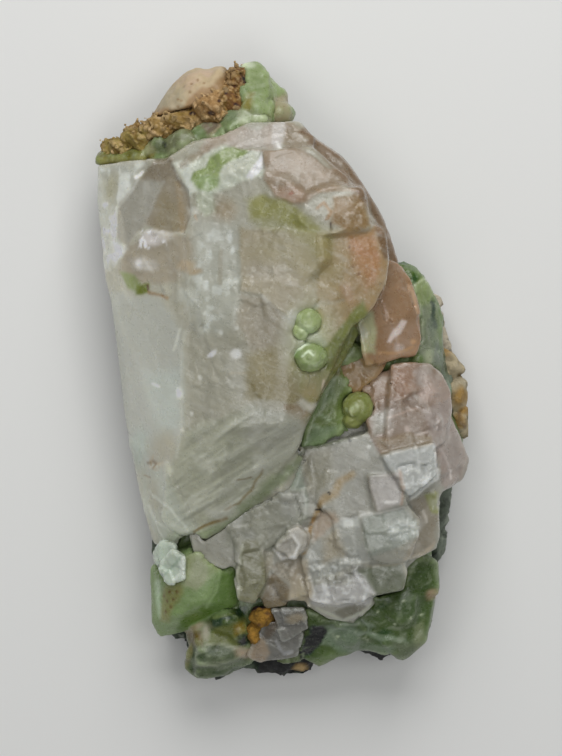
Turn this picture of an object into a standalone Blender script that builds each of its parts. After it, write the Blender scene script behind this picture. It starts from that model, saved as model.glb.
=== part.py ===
"""A hand-sized mineral specimen: pale calcite crystals on a crust of green prehnite, over dark basalt.

It lies on the flat of its basalt, with the crystals up. Every shape is given in millimetres on the plan
seen from straight above, +X to the right, +Y along the specimen's length and Z up from the table.
Each mineral body is one closed solid, put together from convex crystals, lumps and broken chunks.
"""

import math
import random

import bmesh
import bpy
from mathutils import Vector

MM = 0.001
GAP = 0.34  # clearance between two minerals that touch, in mm

BASALT_TOP = 10.0  # the basalt's upper side
CRUST_FOOT = BASALT_TOP + GAP  # underside of the prehnite crust
CRUST_TOP = 18.0  # the crust between its lumps, mostly hidden
CRYSTAL_ROOT = CRUST_TOP + GAP + 0.1  # underside of the crystals that stand on the crust
ROOT_STEP = 0.07  # each crystal's underside lies a little higher than the one before
SIDE_ROOT = BASALT_TOP + 2 * GAP  # underside of the crystals that hang over its sides
SHORTEST_EDGE = 0.03
FLAT_ANGLE = math.radians(1.2)  # faces closer than this to one plane are merged
EYE_HEIGHT = 655.0  # the plan is drawn as an eye this far above the table sees it
TRUE_HEIGHT = 25.0  # the height at which the plan has its true size


def clear_scene():
    for obj in list(bpy.data.objects):
        bpy.data.objects.remove(obj, do_unlink=True)


# Shapes in mm. Each is a function that makes a mesh object, larger by a given margin


def in_space(point):
    """From the plan as the eye sees it, where high things look larger, to true lengths."""
    x, y, z = point
    nearer = (EYE_HEIGHT - z) / (EYE_HEIGHT - TRUE_HEIGHT)
    return Vector((x * nearer, y * nearer, z))


def mesh_object(name, shape):
    mesh = bpy.data.meshes.new(name)
    bmesh.ops.recalc_face_normals(shape, faces=shape.faces)
    shape.to_mesh(mesh)
    shape.free()
    return bpy.data.objects.new(name, mesh)


def convex(points):
    """The hull of points."""
    def make(name, margin=0.0):
        sides = (-margin, margin) if margin else (0.0,)
        shape = bmesh.new()
        for point in points:
            for offset in ((x, y, z) for x in sides for y in sides for z in sides):
                shape.verts.new((in_space(point) + Vector(offset)) * MM)
        made = bmesh.ops.convex_hull(shape, input=shape.verts)
        loose = {v for v in made["geom_interior"] + made["geom_unused"] if isinstance(v, bmesh.types.BMVert)}
        bmesh.ops.delete(shape, geom=list(loose), context="VERTS")
        return mesh_object(name, shape)
    return make


def prism(top, foot, taper=1.0):
    """A block whose upper corners are top, as (x, y, z), and whose underside is level at height foot."""
    cx = sum(p[0] for p in top) / len(top)
    cy = sum(p[1] for p in top) / len(top)
    return convex(list(top) + [(cx + (x - cx) * taper, cy + (y - cy) * taper, foot) for x, y, _ in top])


def ball(centre, radii, turns=6, rings=4, foot=CRUST_FOOT):
    """A rounded lump, cut off level where it would reach below foot."""
    points = []
    for ring in range(rings + 1):
        tilt = math.pi * ring / rings - math.pi / 2
        count = 1 if ring in (0, rings) else turns
        for turn in range(count):
            angle = 2 * math.pi * (turn + 0.5 * (ring % 2)) / turns
            way = (math.cos(tilt) * math.cos(angle), math.cos(tilt) * math.sin(angle), math.sin(tilt))
            x, y, z = (c + r * w for c, r, w in zip(centre, radii, way))
            points.append((x, y, max(z, foot)))
    return convex(points)


def chunk(centre, radii, seed, corners=14, foot=SIDE_ROOT):
    """An angular, broken lump: the hull of scattered corners on an ellipsoid, cut off level at foot."""
    draw = random.Random(seed)
    golden = math.pi * (3 - math.sqrt(5))
    points = []
    for i in range(corners):
        height = 1 - 2 * (i + 0.5) / corners
        angle = golden * i + draw.uniform(-0.5, 0.5)
        level = math.sqrt(1 - height * height)
        reach = draw.uniform(0.8, 1.08)
        way = (level * math.cos(angle), level * math.sin(angle), height)
        x, y, z = (c + r * w * reach for c, r, w in zip(centre, radii, way))
        points.append((x, y, max(z, foot)))
    return convex(points)


def evenly(outline, step):
    """Points about step apart along a closed outline."""
    points = []
    for a, b in zip(outline, outline[1:] + outline[:1]):
        count = max(1, round(math.dist(a, b) / step))
        points += [(a[0] + (b[0] - a[0]) * i / count, a[1] + (b[1] - a[1]) * i / count) for i in range(count)]
    return points


def rough_slab(outline, levels, seed, step=5.0, roughness=0.022):
    """A slab with broken sides. levels gives its rings from the foot up, as (height, share of the outline)."""
    def make(name, margin=0.0):
        draw = random.Random(seed)
        plan = evenly(outline, step)
        cx = sum(x for x, _ in plan) / len(plan)
        cy = sum(y for _, y in plan) / len(plan)
        last = len(levels) - 1
        rings = []
        shape = bmesh.new()
        for number, (height, share) in enumerate(levels):
            ring = []
            for x, y in plan:
                reach = share * (1 + draw.uniform(-roughness, roughness))
                rise = 0 if number in (0, last) else draw.uniform(-0.7, 0.7)
                ends = -margin if number == 0 else margin if number == last else 0
                arm = Vector((x - cx, y - cy, 0))
                arm += arm.normalized() * margin
                point = in_space((cx + arm.x * reach, cy + arm.y * reach, height + rise + ends))
                ring.append(shape.verts.new(point * MM))
            rings.append(ring)
        shape.faces.new(reversed(rings[0]))
        shape.faces.new(rings[-1])
        for low, high in zip(rings, rings[1:]):
            for i in range(len(plan)):
                j = (i + 1) % len(plan)
                shape.faces.new((low[i], low[j], high[j]))
                shape.faces.new((low[i], high[j], high[i]))
        return mesh_object(name, shape)
    return make


# From shapes to one solid


def boolean(body, operation, tools):
    """Applies one Boolean of all the tools to the body."""
    group = bpy.data.collections.new("tools")
    bpy.context.scene.collection.children.link(group)
    for tool in tools:
        group.objects.link(tool)
    step = body.modifiers.new(operation.lower(), "BOOLEAN")
    step.operation = operation
    step.operand_type = "COLLECTION"
    step.collection = group
    graph = bpy.context.evaluated_depsgraph_get()
    result = bpy.data.meshes.new_from_object(body.evaluated_get(graph))
    body.modifiers.remove(step)
    body.data = result
    for tool in tools:
        bpy.data.objects.remove(tool, do_unlink=True)
    bpy.data.collections.remove(group)


def tidy_up(mesh):
    """Merges faces that lie in one plane, and drops the splinters that a cut can leave."""
    shape = bmesh.new()
    shape.from_mesh(mesh)
    bmesh.ops.dissolve_degenerate(shape, dist=SHORTEST_EDGE * MM, edges=shape.edges)
    bmesh.ops.dissolve_limit(shape, angle_limit=FLAT_ANGLE, verts=shape.verts, edges=shape.edges)
    bmesh.ops.triangulate(shape, faces=shape.faces)
    unseen = set(shape.verts)
    bodies = []
    while unseen:
        front = [unseen.pop()]
        body = set(front)
        while front:
            vertex = front.pop()
            near = {e.other_vert(vertex) for e in vertex.link_edges} & unseen
            unseen -= near
            body |= near
            front.extend(near)
        bodies.append(body)
    bodies.sort(key=lambda body: (Vector(map(max, zip(*(v.co for v in body))))
                                  - Vector(map(min, zip(*(v.co for v in body))))).length)
    for body in bodies[:-1]:
        bmesh.ops.delete(shape, geom=list(body), context="VERTS")
    bmesh.ops.recalc_face_normals(shape, faces=shape.faces)
    shape.to_mesh(mesh)
    shape.free()


def material(name, colour, roughness, transmission=0.0):
    made = bpy.data.materials.new(name)
    made.use_nodes = True
    surface = made.node_tree.nodes["Principled BSDF"]
    surface.inputs["Base Color"].default_value = (*colour, 1)
    surface.inputs["Roughness"].default_value = roughness
    surface.inputs["Transmission Weight"].default_value = transmission
    surface.inputs["IOR"].default_value = 1.6
    return made


def solid(name, shapes, look, beside=()):
    """Joins shapes into one body, and cuts it back from the bodies it lies beside."""
    body = shapes[0](name)
    bpy.context.scene.collection.objects.link(body)
    if len(shapes) > 1:
        boolean(body, "UNION", [shape("tool") for shape in shapes[1:]])
    others = [shape for other in beside for shape in other]
    if others:
        boolean(body, "DIFFERENCE", [shape("tool", GAP) for shape in others])
    tidy_up(body.data)
    body.data.materials.clear()
    body.data.materials.append(look)
    return body


# The minerals


def main_calcite():
    """The large crystal mass that covers the upper two thirds."""
    long_left_face = convex([
        (-21, 20, 36.4), (-20.0, 9, 37), (-19.4, 3, 37.6), (-20, -4, 37), (-20.2, -13, 35), (-22, -17, 32.5),
        (-23, -22, 29), (-30.6, 18, 26.6),
        (-34, 13, 21), (-32.8, 5, 19.5), (-31.2, -4, 18), (-31.2, -11, 17), (-28.9, -18.5, 17), (-28, -24, 16),
        (-33, 14, SIDE_ROOT), (-31.6, 5, SIDE_ROOT), (-30.2, -4, SIDE_ROOT), (-30, -11, SIDE_ROOT),
        (-27.6, -19, SIDE_ROOT), (-26.6, -25, SIDE_ROOT), (-14, -20, SIDE_ROOT), (-14, 18, SIDE_ROOT),
    ])
    upper_left_end = convex([
        (-26.4, 42.2, 30), (-33, 31, 25.5), (-29.6, 25, 28.4), (-20.6, 40, 33.4), (-18.2, 34, 36.4),
        (-18.4, 26, 37), (-20.6, 16, 36.2), (-30.8, 17, 26.4),
        (-37.4, 41.2, 19), (-37.4, 33.4, 18), (-36.6, 27, 18), (-35.4, 19.6, 19), (-33.9, 12.4, 20.4),
        (-36.4, 41, 11), (-36.4, 33, 11), (-35.6, 27, 11), (-34.4, 19.6, 11), (-33, 13, 11), (-12, 14, 11),
        (-12, 41.6, 11),
    ])
    core = [
        [(-24, 40, 30.4), (-8, 46, 31.4), (6, 44, 31), (19, 28, 32), (19, 14, 33), (6, -6, 35), (-8, -20, 31),
         (-20, -24, 28), (-22, -6, 34), (-23, 18, 34)],
        [(-22.6, 30, 34.6), (-12, 40, 35.4), (0, 40, 36.6), (8, 26, 39.4), (9, 10, 39), (0, -4, 38.8),
         (-16, -8, 36.4), (-20.6, 4, 36.6), (-21, 18, 36)],
    ]
    centre = [
        [(-23.4, 42, 31.6), (-21, 38, 34), (-17, 35, 37), (-9, 38, 39), (-7, 43, 37), (-12, 46.4, 33.6),
         (-18, 45.4, 32)],
        [(-18, 37, 37), (-9, 41, 39), (1, 38, 42), (7, 32, 43.4), (9, 22, 43.6), (2, 16, 43), (-8, 15, 41.5),
         (-19, 18, 38.3), (-19.5, 28, 37.6)],
        [(-10, 18, 42), (2, 18, 43.3), (11, 16, 42.2), (13, 8, 40.8), (9, 1, 40.4), (3, 2, 42), (-9, 6, 42.3),
         (-19, 10, 38.4), (-19.2, 18.2, 38.2)],
        [(-19.4, 12, 38), (-9, 8, 42), (2, 6, 42.6), (8, 0, 40), (5, -9, 39.4), (0, -11, 40.4),
         (-10, -12, 40), (-19.6, -13, 36), (-20, -3, 37.5)],
    ]
    striated_wedge = [
        [(-20, -11, 36.4), (-10, -11, 40.3), (0, -10, 40.6), (4.8, -10, 39.2), (1.8, -17, 36),
         (-2.6, -22.6, 33), (-6.4, -26, 30.5), (-14.4, -31.2, 27), (-20, -33, 24.4), (-24, -30, 24.5),
         (-23, -22, 29.5), (-20.6, -14, 35)],
    ]
    lower_seam = [
        [(-17, -31.4, 26.6), (-6, -25, 31.4), (1.8, -17.4, 34.6), (4, -17, 32.6), (1.6, -23.2, 30.9),
         (-5.2, -25.4, 30.8), (-11, -29.6, 28.4), (-15.8, -34, 25.6)],
    ]
    top_end = [
        [(-14, 43, 36), (-13, 46, 34), (-6.8, 49.4, 33), (3.2, 49.4, 32.6), (6.6, 46, 34), (3, 43, 37),
         (-3.6, 38.6, 39.4), (-12, 39.6, 37.8)],
        [(-2, 48.6, 29), (3.8, 48.4, 28), (7.3, 45.4, 28), (11.2, 42.9, 28), (13.5, 39.8, 28.4),
         (15.4, 36.2, 29), (17, 33.4, 29), (19, 30.6, 28.6), (20.2, 27.6, 28), (21.6, 24.6, 27.4),
         (23, 21.4, 26.8), (21, 17, 29.6), (12, 14, 31), (0, 30, 33)],
    ]
    lower_left_tip = prism([
        (-30.8, -14, 17), (-28.8, -18.4, 17.5), (-28, -23.4, 17), (-27.6, -28.4, 16.5), (-25.8, -35, 15.5),
        (-22, -36, 19), (-19.6, -31, 24), (-22.6, -21, 29.4), (-24, -17, 29)], SIDE_ROOT + ROOT_STEP, 0.94)
    right_belly = prism([
        (0, 10, 42), (10.6, 9, 40.2), (12.6, 7, 39), (9.6, 2.6, 38.4), (8.6, -1, 37.6), (6.4, -5, 37.6),
        (4.8, -10, 38.6), (-2, -10, 40)], 22, 0.96)
    orange_plate = prism([
        (6, 30, 42.6), (16.8, 28.6, 41.3), (20, 28, 40.8), (20.9, 22, 40), (20, 17, 39.6), (18, 13, 39.4),
        (15.6, 10.4, 39.4), (12.4, 8.4, 39.8), (9, 8, 40.4), (4, 14, 42.4)], 29, 0.94)
    stepped_plate = prism([
        (5, 35, 43.2), (9.4, 36.8, 42.8), (15.8, 36.2, 42.2), (16.9, 28.2, 42.4), (9, 27.6, 44.2),
        (3, 30, 44)], 30.4)
    white_plate = prism([
        (-3.6, 44, 38.4), (5.6, 44.4, 38.4), (12.4, 38.4, 38.8), (14.2, 36.4, 39.2), (9, 35.8, 40.8),
        (3.4, 33, 42.2), (-3, 35, 42)], 22.2)
    standing = core + centre + striated_wedge + lower_seam + top_end
    return [long_left_face, upper_left_end, lower_left_tip, right_belly, orange_plate, stepped_plate,
            white_plate] + [prism(top, CRYSTAL_ROOT + ROOT_STEP * i, 0.98) for i, top in enumerate(standing)]


def pink_calcite():
    """The blade that stands behind the large crystal, on the right."""
    blade = prism([
        (19.4, 22.6, 34.6), (23.2, 21, 30.6), (25.2, 18, 29.4), (27, 12, 28.6), (27.4, 6, 28.6), (26.2, 3.2, 29.6),
        (19.4, 1.5, 32.6), (16.6, 1, 33.6), (15.6, 6, 35.6), (14.4, 12, 37), (14, 20, 37)], CRYSTAL_ROOT, 0.95)
    low_step = prism([
        (11.6, 0.8, 30.6), (17.6, 3, 31.4), (20.6, 1.8, 31), (18.6, -1.4, 30.2), (14.6, -4.6, 29.4),
        (12.4, -2.6, 29.8)], CRYSTAL_ROOT + ROOT_STEP)
    return [blade, low_step]


def stepped_calcite():
    """The lower right cluster of cleaved rhombs, with the grey crystals that it has grown together with."""
    pink_end = [
        [(15.4, -5.4, 30.4), (16.2, -2, 30), (18.8, -0.8, 29.8), (22.2, -0.4, 29.8), (22.4, -10, 32.4),
         (20, -17, 34), (17.3, -12.4, 33.2)],
        [(21.8, 0.9, 30.9), (25.2, 1.3, 30.6), (29, 0.9, 29.8), (31.4, -1, 28.6), (33, -4.5, 27.6),
         (33.4, -8.4, 27.8), (32, -14.6, 29.6), (30.4, -15.4, 32.2), (20.2, -17.6, 33.7), (20.6, -13, 34)],
    ]
    right_flank = [
        [(30.2, -11, 31), (32.8, -8.4, 27.4), (35.6, -15, 23.4), (36.8, -17.8, 21.8), (36.4, -20, 21.4),
         (35.6, -21.6, 21.6), (33.4, -23.4, 23), (30.6, -24.6, 27.4), (25.2, -25.6, 30.4), (26, -15, 31.4)],
    ]
    cleaved_steps = [
        [(19.8, -17.2, 35), (30.2, -14.5, 34), (30.6, -20.8, 34.2), (25.2, -25.2, 35), (22.6, -21, 35.4)],
        [(2.2, -16.7, 30.6), (13.4, -13.9, 32.6), (16.9, -12.9, 33.2), (20, -17.4, 34), (22.8, -21.2, 33.8),
         (17.2, -22, 33), (8, -26, 31), (4.4, -25, 30)],
        [(16.9, -21.2, 34), (22.9, -21, 34.3), (24.7, -27.1, 33.6), (18.4, -28.5, 33.2)],
        [(8.6, -20.4, 32), (17.2, -21.2, 32.9), (18.7, -28.3, 32.4), (10.4, -29.9, 31.6), (6.6, -26, 31)],
        [(10.2, -30.3, 31.6), (12, -29.4, 31.8), (15.2, -28.9, 31.8), (17, -35.9, 31.2), (13.8, -37.4, 30.4),
         (10.6, -35.2, 30.6)],
        [(15, -29.1, 32.6), (24.8, -27.5, 33), (27, -29.8, 32.4), (27, -33.1, 32), (24.5, -35, 31.8),
         (16.9, -36.2, 32), (24.8, -38.2, 29.4), (15, -38.8, 29.8), (14.4, -36, 30.6)],
        [(24, -24.4, 30), (30.6, -24.2, 28), (30.4, -28.4, 27.4), (31.1, -33.2, 26.4), (30.6, -35.6, 25.8),
         (24.2, -38.5, 27.2), (23, -34, 29.6)],
        [(16.3, -39.3, 29), (24, -38, 28.6), (24.6, -40.2, 28), (24, -43.8, 27.4), (18.7, -44.9, 28)],
        [(11, -38.6, 30.2), (16.5, -37.6, 30), (18.6, -44.6, 28.6), (15, -46.5, 28), (10.4, -47.1, 27.6)],
        [(3.8, -38, 28.2), (9.4, -34.6, 29.8), (14, -37, 29.8), (15.2, -40, 29.2), (12.2, -47.2, 27.2),
         (5.4, -46.2, 26.4)],
        [(9.4, -46.6, 25.4), (15, -45.8, 26), (18, -46.4, 25), (14, -50.4, 23), (9, -49.6, 22.8),
         (4.6, -47, 24)],
        [(4.6, -29, 29), (11.4, -28.6, 30.6), (14, -37, 30), (4.2, -38.6, 28.4)],
    ]
    grey_crystals = [
        [(-5.7, -24.2, 31), (5.2, -23.4, 30.4), (5.4, -29.8, 29.4), (2.6, -31.4, 28.8), (-1, -33.4, 28.2),
         (-4, -36, 27.4), (-8.6, -34.6, 27.4), (-15.4, -33.2, 25.6), (-11.2, -28.8, 28.6)],
        [(-0.6, -16.6, 32.6), (3.6, -16, 33), (5, -22.4, 31), (6.6, -25.6, 30.4), (7, -29.4, 29.8),
         (2, -31.4, 29.2), (0.4, -24, 30.8)],
        [(-18.6, -32.4, 25.4), (-12, -29.6, 27.4), (-7.6, -34.2, 27.4), (-8.8, -38.4, 26), (-12, -39.8, 25.4),
         (-17.6, -37.6, 24.6)],
        [(-1.2, -35.8, 30.2), (0.5, -32.4, 31), (2.9, -31.4, 31.2), (4.8, -33, 31), (4.2, -35.9, 30),
         (2, -37.5, 29.4)],
        [(-9, -34, 28), (-4.2, -34.3, 28), (-3.5, -42.6, 26.4), (-6, -46.4, 25), (-8.8, -45.8, 25.2),
         (-9.4, -41.2, 26.8)],
        [(-2.6, -40.6, 25), (1.5, -43.4, 24.6), (0.6, -47, 23), (-3.4, -47.6, 22.6), (-4.4, -44.4, 23.8)],
        [(-3.4, -35, 26.6), (4.6, -35.4, 27), (5.6, -44.4, 25.6), (1, -46, 24.2), (-3.6, -41.6, 25)],
    ]
    core = [
        [(3, -19, 28), (16, -5, 28.4), (31, -3, 27.4), (33.6, -15, 26), (32, -23, 26.4), (29, -34, 25.4),
         (22, -41, 26), (7, -42, 26.4), (3, -30, 27)],
        [(-11, -31.6, 24.6), (-4, -26, 26.6), (6, -22, 27.4), (27, -25, 27), (26, -38, 25.6), (16, -47, 24.6),
         (4, -46, 23.6), (-7.4, -45, 23.4)],
    ]
    tops = core + pink_end + right_flank + cleaved_steps + grey_crystals
    return [prism(top, CRYSTAL_ROOT + ROOT_STEP * i, 0.97) for i, top in enumerate(tops)]


def grey_calcite():
    """A small grey crystal at the lower edge."""
    return [
        prism([(-3.4, -50.4, 21), (4.4, -50.4, 21.6), (3.6, -53.6, 20), (2.6, -56.8, 16.4), (-4.8, -58, 15.6),
               (-6.8, -56.8, 16.6)], SIDE_ROOT + 1, 0.92),
        prism([(-2, -48.2, 23), (4, -47.8, 23.4), (5, -51.6, 21.6), (0, -54, 20.2)], SIDE_ROOT + 2),
    ]


def small_calcite():
    """Two little clear crystals on the green lump at the lower left."""
    return [
        prism([(-24.6, -39.4, 24.6), (-22, -36.2, 27), (-19.8, -37.6, 27.6), (-19.8, -41.6, 26.6),
               (-22.8, -42.8, 24.8)], 17),
        prism([(-25.8, -36.6, 21), (-24, -34.4, 22.6), (-21.6, -35.2, 24.4), (-22, -38.6, 24.6),
               (-25, -38.8, 22.6)], 16),
    ]


def prehnite_crust():
    """The green crust: rounded lumps over a layer that holds the crystals."""
    layer = rough_slab(
        [(-17, -60.6), (-6, -57.4), (8, -56.6), (20, -55.6), (26, -55), (29, -44), (30.6, -28), (33, -12),
         (30.4, 4), (29, 14), (21, 20), (17, 29), (11, 38), (4, 45.4), (-1, 50), (-1, 56), (-5, 59.6),
         (-10, 56), (-18, 50), (-28, 45.6), (-35.4, 43), (-34, 38), (-31, 28), (-30, 14), (-27, -4),
         (-25, -20), (-24.6, -50), (-19.4, -53)],
        [(CRUST_FOOT, 0.96), (14, 1), (CRUST_TOP, 0.95)], seed=3, step=6.5)
    valley = [
        prism([(2.6, -18.4, 30.4), (6, -8.6, 31), (8.6, 1, 31), (12.4, 5.6, 31), (18.6, 2.8, 30.2),
               (15.6, -4.8, 28.4), (13.6, -11, 28.6), (7, -15.4, 29.6)], CRUST_FOOT + 2.2),
        ball((21, 1.4, 21), (5.5, 3.5, 7.6)), ball((27, 2, 17.6), (4.4, 4, 8)), ball((0.6, -23, 20), (4, 4, 8)),
    ]
    rosette = [
        ball((16.2, 9.6, 27), (2.6, 2.6, 3.2)), ball((14.8, 5.6, 26.6), (2.8, 2.4, 3)),
        ball((15.6, 2.6, 25.6), (2.6, 2.2, 2.8)), ball((12.4, 7.2, 25), (2.6, 2.6, 3)),
    ]
    right_band = [
        prism([(22.6, 21.2, 20), (25.6, 19.8, 19.6), (28.6, 16.4, 19), (29.6, 9.4, 19.4), (26.6, 9, 23),
               (24.4, 17, 23), (21, 19.4, 23)], CRUST_FOOT + 1),
        prism([(28.8, 16, 18.4), (31.2, 11, 17.6), (31.6, 2, 17.4), (29.6, 0.4, 21.4), (27.4, 2, 22.2),
               (27, 11, 22.6)], CRUST_FOOT + 1.1),
        prism([(28.2, 3.6, 21.6), (31.6, 3.4, 18), (33.2, -4, 17), (33.8, -11, 16.4), (32.4, -12, 19),
               (30.4, -4, 21.4)], CRUST_FOOT + 1.2),
        prism([(32.4, -8, 19.4), (34.4, -10, 16.4), (35.4, -14.4, 15.4), (34, -15, 18), (32.6, -13, 20)],
              CRUST_FOOT + 1.3),
    ]
    lower_right = [
        prism([(26, -36.6, 22.4), (30.4, -38.6, 19), (30, -46, 18.4), (28.2, -54, 16.4), (23.4, -57.4, 15),
               (20, -54, 18), (19.4, -46, 21.4), (23, -40, 23)], CRUST_FOOT + 1.4),
        prism([(16, -45, 22), (21, -45.6, 22), (23.6, -53, 18), (20.4, -56.4, 15), (15, -55.2, 15.4),
               (12.6, -50, 19.4)], CRUST_FOOT + 1.5),
        prism([(4.6, -48, 22.2), (13.4, -48.2, 21.8), (16.4, -51.6, 19.6), (15, -55, 15.4), (10.6, -56.6, 14.6),
               (7.2, -59, 13.4), (4.8, -57.6, 15)], CRUST_FOOT + 1.6),
        ball((23.6, -47, 17.4), (4.6, 5, 5.4)), ball((12.6, -53, 15), (3.4, 3, 4.4)),
    ]
    lower_left = [
        prism([(-19.2, -56, 15.6), (-14.4, -51.4, 17), (-8, -52, 17.6), (-5.2, -55.4, 16), (-6, -58.4, 13.4),
               (-12, -60.6, 13), (-17, -61, 13), (-19.4, -59.4, 13.4)], CRUST_FOOT + 1.7),
        ball((-11.4, -50.4, 17.6), (4, 2.8, 4.6)), ball((-8.6, -52, 17), (2.6, 2.8, 4.2)),
        ball((-15, -57, 13), (3.6, 3.4, 4.6)),
    ]
    big_lump = convex([
        (-26.2, -39.4, 16.4), (-25.9, -50.6, 16), (-24.6, -53, 15), (-20.4, -52.2, 15.4), (-15.4, -49.4, 16.4),
        (-9.4, -47, 19.6), (-8.8, -42, 21.4), (-9.6, -37.8, 24), (-18.6, -34, 16),
        (-23.6, -41, 22.8), (-22.8, -49.2, 21.4), (-21.2, -48.8, 22.8), (-16, -46.2, 24.4), (-13.4, -41.6, 25.4),
        (-12.6, -37, 25.6), (-17.4, -36.6, 26.2), (-19.4, -42, 25.6),
        (-24.6, -40, 12), (-24.2, -49.6, 12), (-20, -50, 12), (-11, -44, 12), (-16, -36, 12),
    ])
    upper_left_band = [
        prism([(-37.2, 41.8, 18), (-36, 43.6, 17.4), (-29, 45, 18.6), (-26.4, 43.8, 22), (-28, 41.4, 22),
               (-33, 41, 19.4)], CRUST_FOOT + 1.8),
        prism([(-28, 44.6, 21.4), (-23.6, 46.4, 23.6), (-18.6, 47, 26), (-16.6, 45, 27.4), (-20, 42, 27.4),
               (-26, 42, 23.4)], CRUST_FOOT + 1.9),
        prism([(-18.6, 46.6, 24.6), (-16, 49.2, 24.4), (-12.6, 49.4, 26), (-11.4, 46.6, 29), (-15, 44.6, 29)],
              CRUST_FOOT + 2.3),
        prism([(-13, 49.6, 25), (-11.4, 51.8, 25), (-7.6, 52, 26.4), (-7, 48.8, 29), (-10.6, 47.6, 29)],
              CRUST_FOOT + 2.4),
        prism([(-8.6, 50.4, 26.6), (-3.6, 50.6, 27), (-3, 48.6, 29.6), (-8, 47.8, 30)], CRUST_FOOT + 2.5),
        ball((-24.6, 45, 21), (2.4, 2.2, 3.4)),
    ]
    top_right_lump = [
        prism([(-8, 60.4, 20.4), (-5.4, 61.2, 21), (-3.6, 59.2, 22), (-2.6, 55, 25), (-6.6, 51.6, 27),
               (-8.2, 55, 26), (-8.6, 58, 24)], CRUST_FOOT + 2),
        prism([(-4.6, 58.4, 20), (-2.6, 57.6, 19), (0.6, 55, 17), (0.4, 51.6, 18), (-3, 49.8, 24),
               (-5.6, 51, 26), (-4.4, 55.4, 24)], CRUST_FOOT + 2.1),
        ball((-5.4, 52.4, 23), (3.2, 2.6, 5)), ball((-0.6, 51.4, 18.4), (2.6, 2.4, 5)),
    ]
    return [layer] + valley + rosette + right_band + lower_right + lower_left + [big_lump] \
        + upper_left_band + top_right_lump


def basalt_matrix():
    """The dark rock underneath, flat below."""
    outline = [
        (-18.4, -59.6), (-12.8, -61.2), (-4.2, -59.4), (4.2, -60.8), (8, -58.4), (14, -55.8), (19.4, -57.2),
        (25, -57), (28, -52), (30.6, -42), (33.2, -30), (34, -22), (35, -8), (33, 4), (31, 14), (22, 21),
        (16, 32), (7, 44), (0.6, 50), (-1, 56), (-5, 60), (-12, 57), (-20, 54), (-26, 49), (-34, 44),
        (-35.8, 37), (-35, 27), (-33, 14), (-30.6, 0), (-29, -12), (-27, -26), (-24.6, -42), (-24, -50),
        (-19.6, -53.4)]
    return [rough_slab(outline, [(0, 0.88), (2.8, 0.97), (6.4, 1), (BASALT_TOP, 0.97)], seed=8, step=5.5)]


def tan_crust():
    """The weathered rind on the right edge."""
    return [chunk(centre, radii, seed) for centre, radii, seed in (
        ((30.6, 13.2, 12.6), (2.9, 3.6, 5), 41), ((31.4, 8, 12), (2.7, 4.4, 4.6), 42),
        ((32.4, 0.4, 12), (3.8, 4.4, 5), 44), ((34.2, -5.4, 11.8), (3.2, 4.8, 4.8), 45),
        ((35, -10.4, 11), (2.7, 3.4, 4.4), 46),
    )]


def brown_crust():
    """The earthy, fibrous crust along the top."""
    return [chunk(centre, radii, seed) for centre, radii, seed in (
        ((-8.8, 57.2, 19), (3.2, 3.5, 6.4), 51), ((-9.8, 53.6, 21.6), (4.2, 4, 6.4), 52),
        ((-15, 52.2, 21.8), (5.2, 4, 6.6), 53), ((-12.4, 55, 20.6), (3.6, 3.4, 6), 58),
        ((-19.8, 49.6, 20.2), (5.4, 3.6, 6.6), 54), ((-24.8, 48, 18.4), (5.2, 3.3, 6.4), 55),
        ((-29.2, 46.2, 17), (4.6, 2.9, 6), 56), ((-33.2, 44.3, 15.8), (3.6, 2.5, 5), 57),
    )]


def beige_lump():
    """The smooth beige lump at the top edge."""
    return [convex([
        (-25.4, 50.6, SIDE_ROOT), (-23.6, 52.8, SIDE_ROOT), (-21.4, 55.6, SIDE_ROOT), (-20.6, 57.6, SIDE_ROOT),
        (-18.6, 59, SIDE_ROOT), (-16, 59.4, SIDE_ROOT), (-12.6, 59.2, SIDE_ROOT), (-12, 55, SIDE_ROOT),
        (-20, 50, SIDE_ROOT),
        (-26.3, 50.6, 17), (-24.5, 53, 17), (-22.3, 55.4, 17), (-21.7, 57.4, 17), (-19.8, 59.2, 17),
        (-17.3, 60.3, 17), (-14.4, 60.1, 17), (-11.9, 60, 17), (-11.3, 56, 17),
        (-25, 51, 21.4), (-23, 53.8, 21.6), (-21.2, 56.4, 21.8), (-19, 58.6, 21.8), (-16.6, 59.4, 21.8),
        (-13, 59.2, 21.6), (-12, 56, 22.6),
        (-22.4, 52, 24), (-20.4, 55, 24.8), (-17.8, 57, 25.2), (-14.4, 57.4, 25), (-12.8, 55.6, 24.8),
        (-18, 53, 25.6),
    ])]


def limonite_patch():
    """The orange, rusty fill between the green and the grey crystals at the lower edge."""
    return [chunk(centre, radii, seed) for centre, radii, seed in (
        ((-4, -49.4, 19.6), (3, 2.4, 4), 61), ((-5.4, -52.2, 17.6), (2, 2.8, 3.8), 62),
    )]


LOOKS = {
    "calcite": ((0.66, 0.63, 0.56), 0.25, 0.3), "pink_calcite": ((0.62, 0.44, 0.35), 0.25, 0.3),
    "prehnite": ((0.22, 0.33, 0.14), 0.35, 0.1), "basalt": ((0.05, 0.06, 0.055), 0.7),
    "tan_crust": ((0.42, 0.33, 0.2), 0.85), "brown_crust": ((0.3, 0.18, 0.08), 0.9),
    "beige_lump": ((0.52, 0.43, 0.31), 0.6), "limonite": ((0.5, 0.26, 0.05), 0.9),
}

PREHNITE_BALLS = {
    "prehnite_ball_upper": [ball((5, 9.8, 41.4), (2.7, 2.6, 2.8), 10, 6), ball((3.6, 7.6, 41.2), (1.9, 1.8, 2.2))],
    "prehnite_ball_lower": [ball((5.4, 2.6, 40.6), (3.4, 2.9, 3.3), 10, 6)],
    "prehnite_ball_right": [ball((15, -7.6, 30.2), (3.1, 3.1, 3.2), 10, 6), ball((14, -10, 30), (2.2, 1.8, 2.4))],
}


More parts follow.
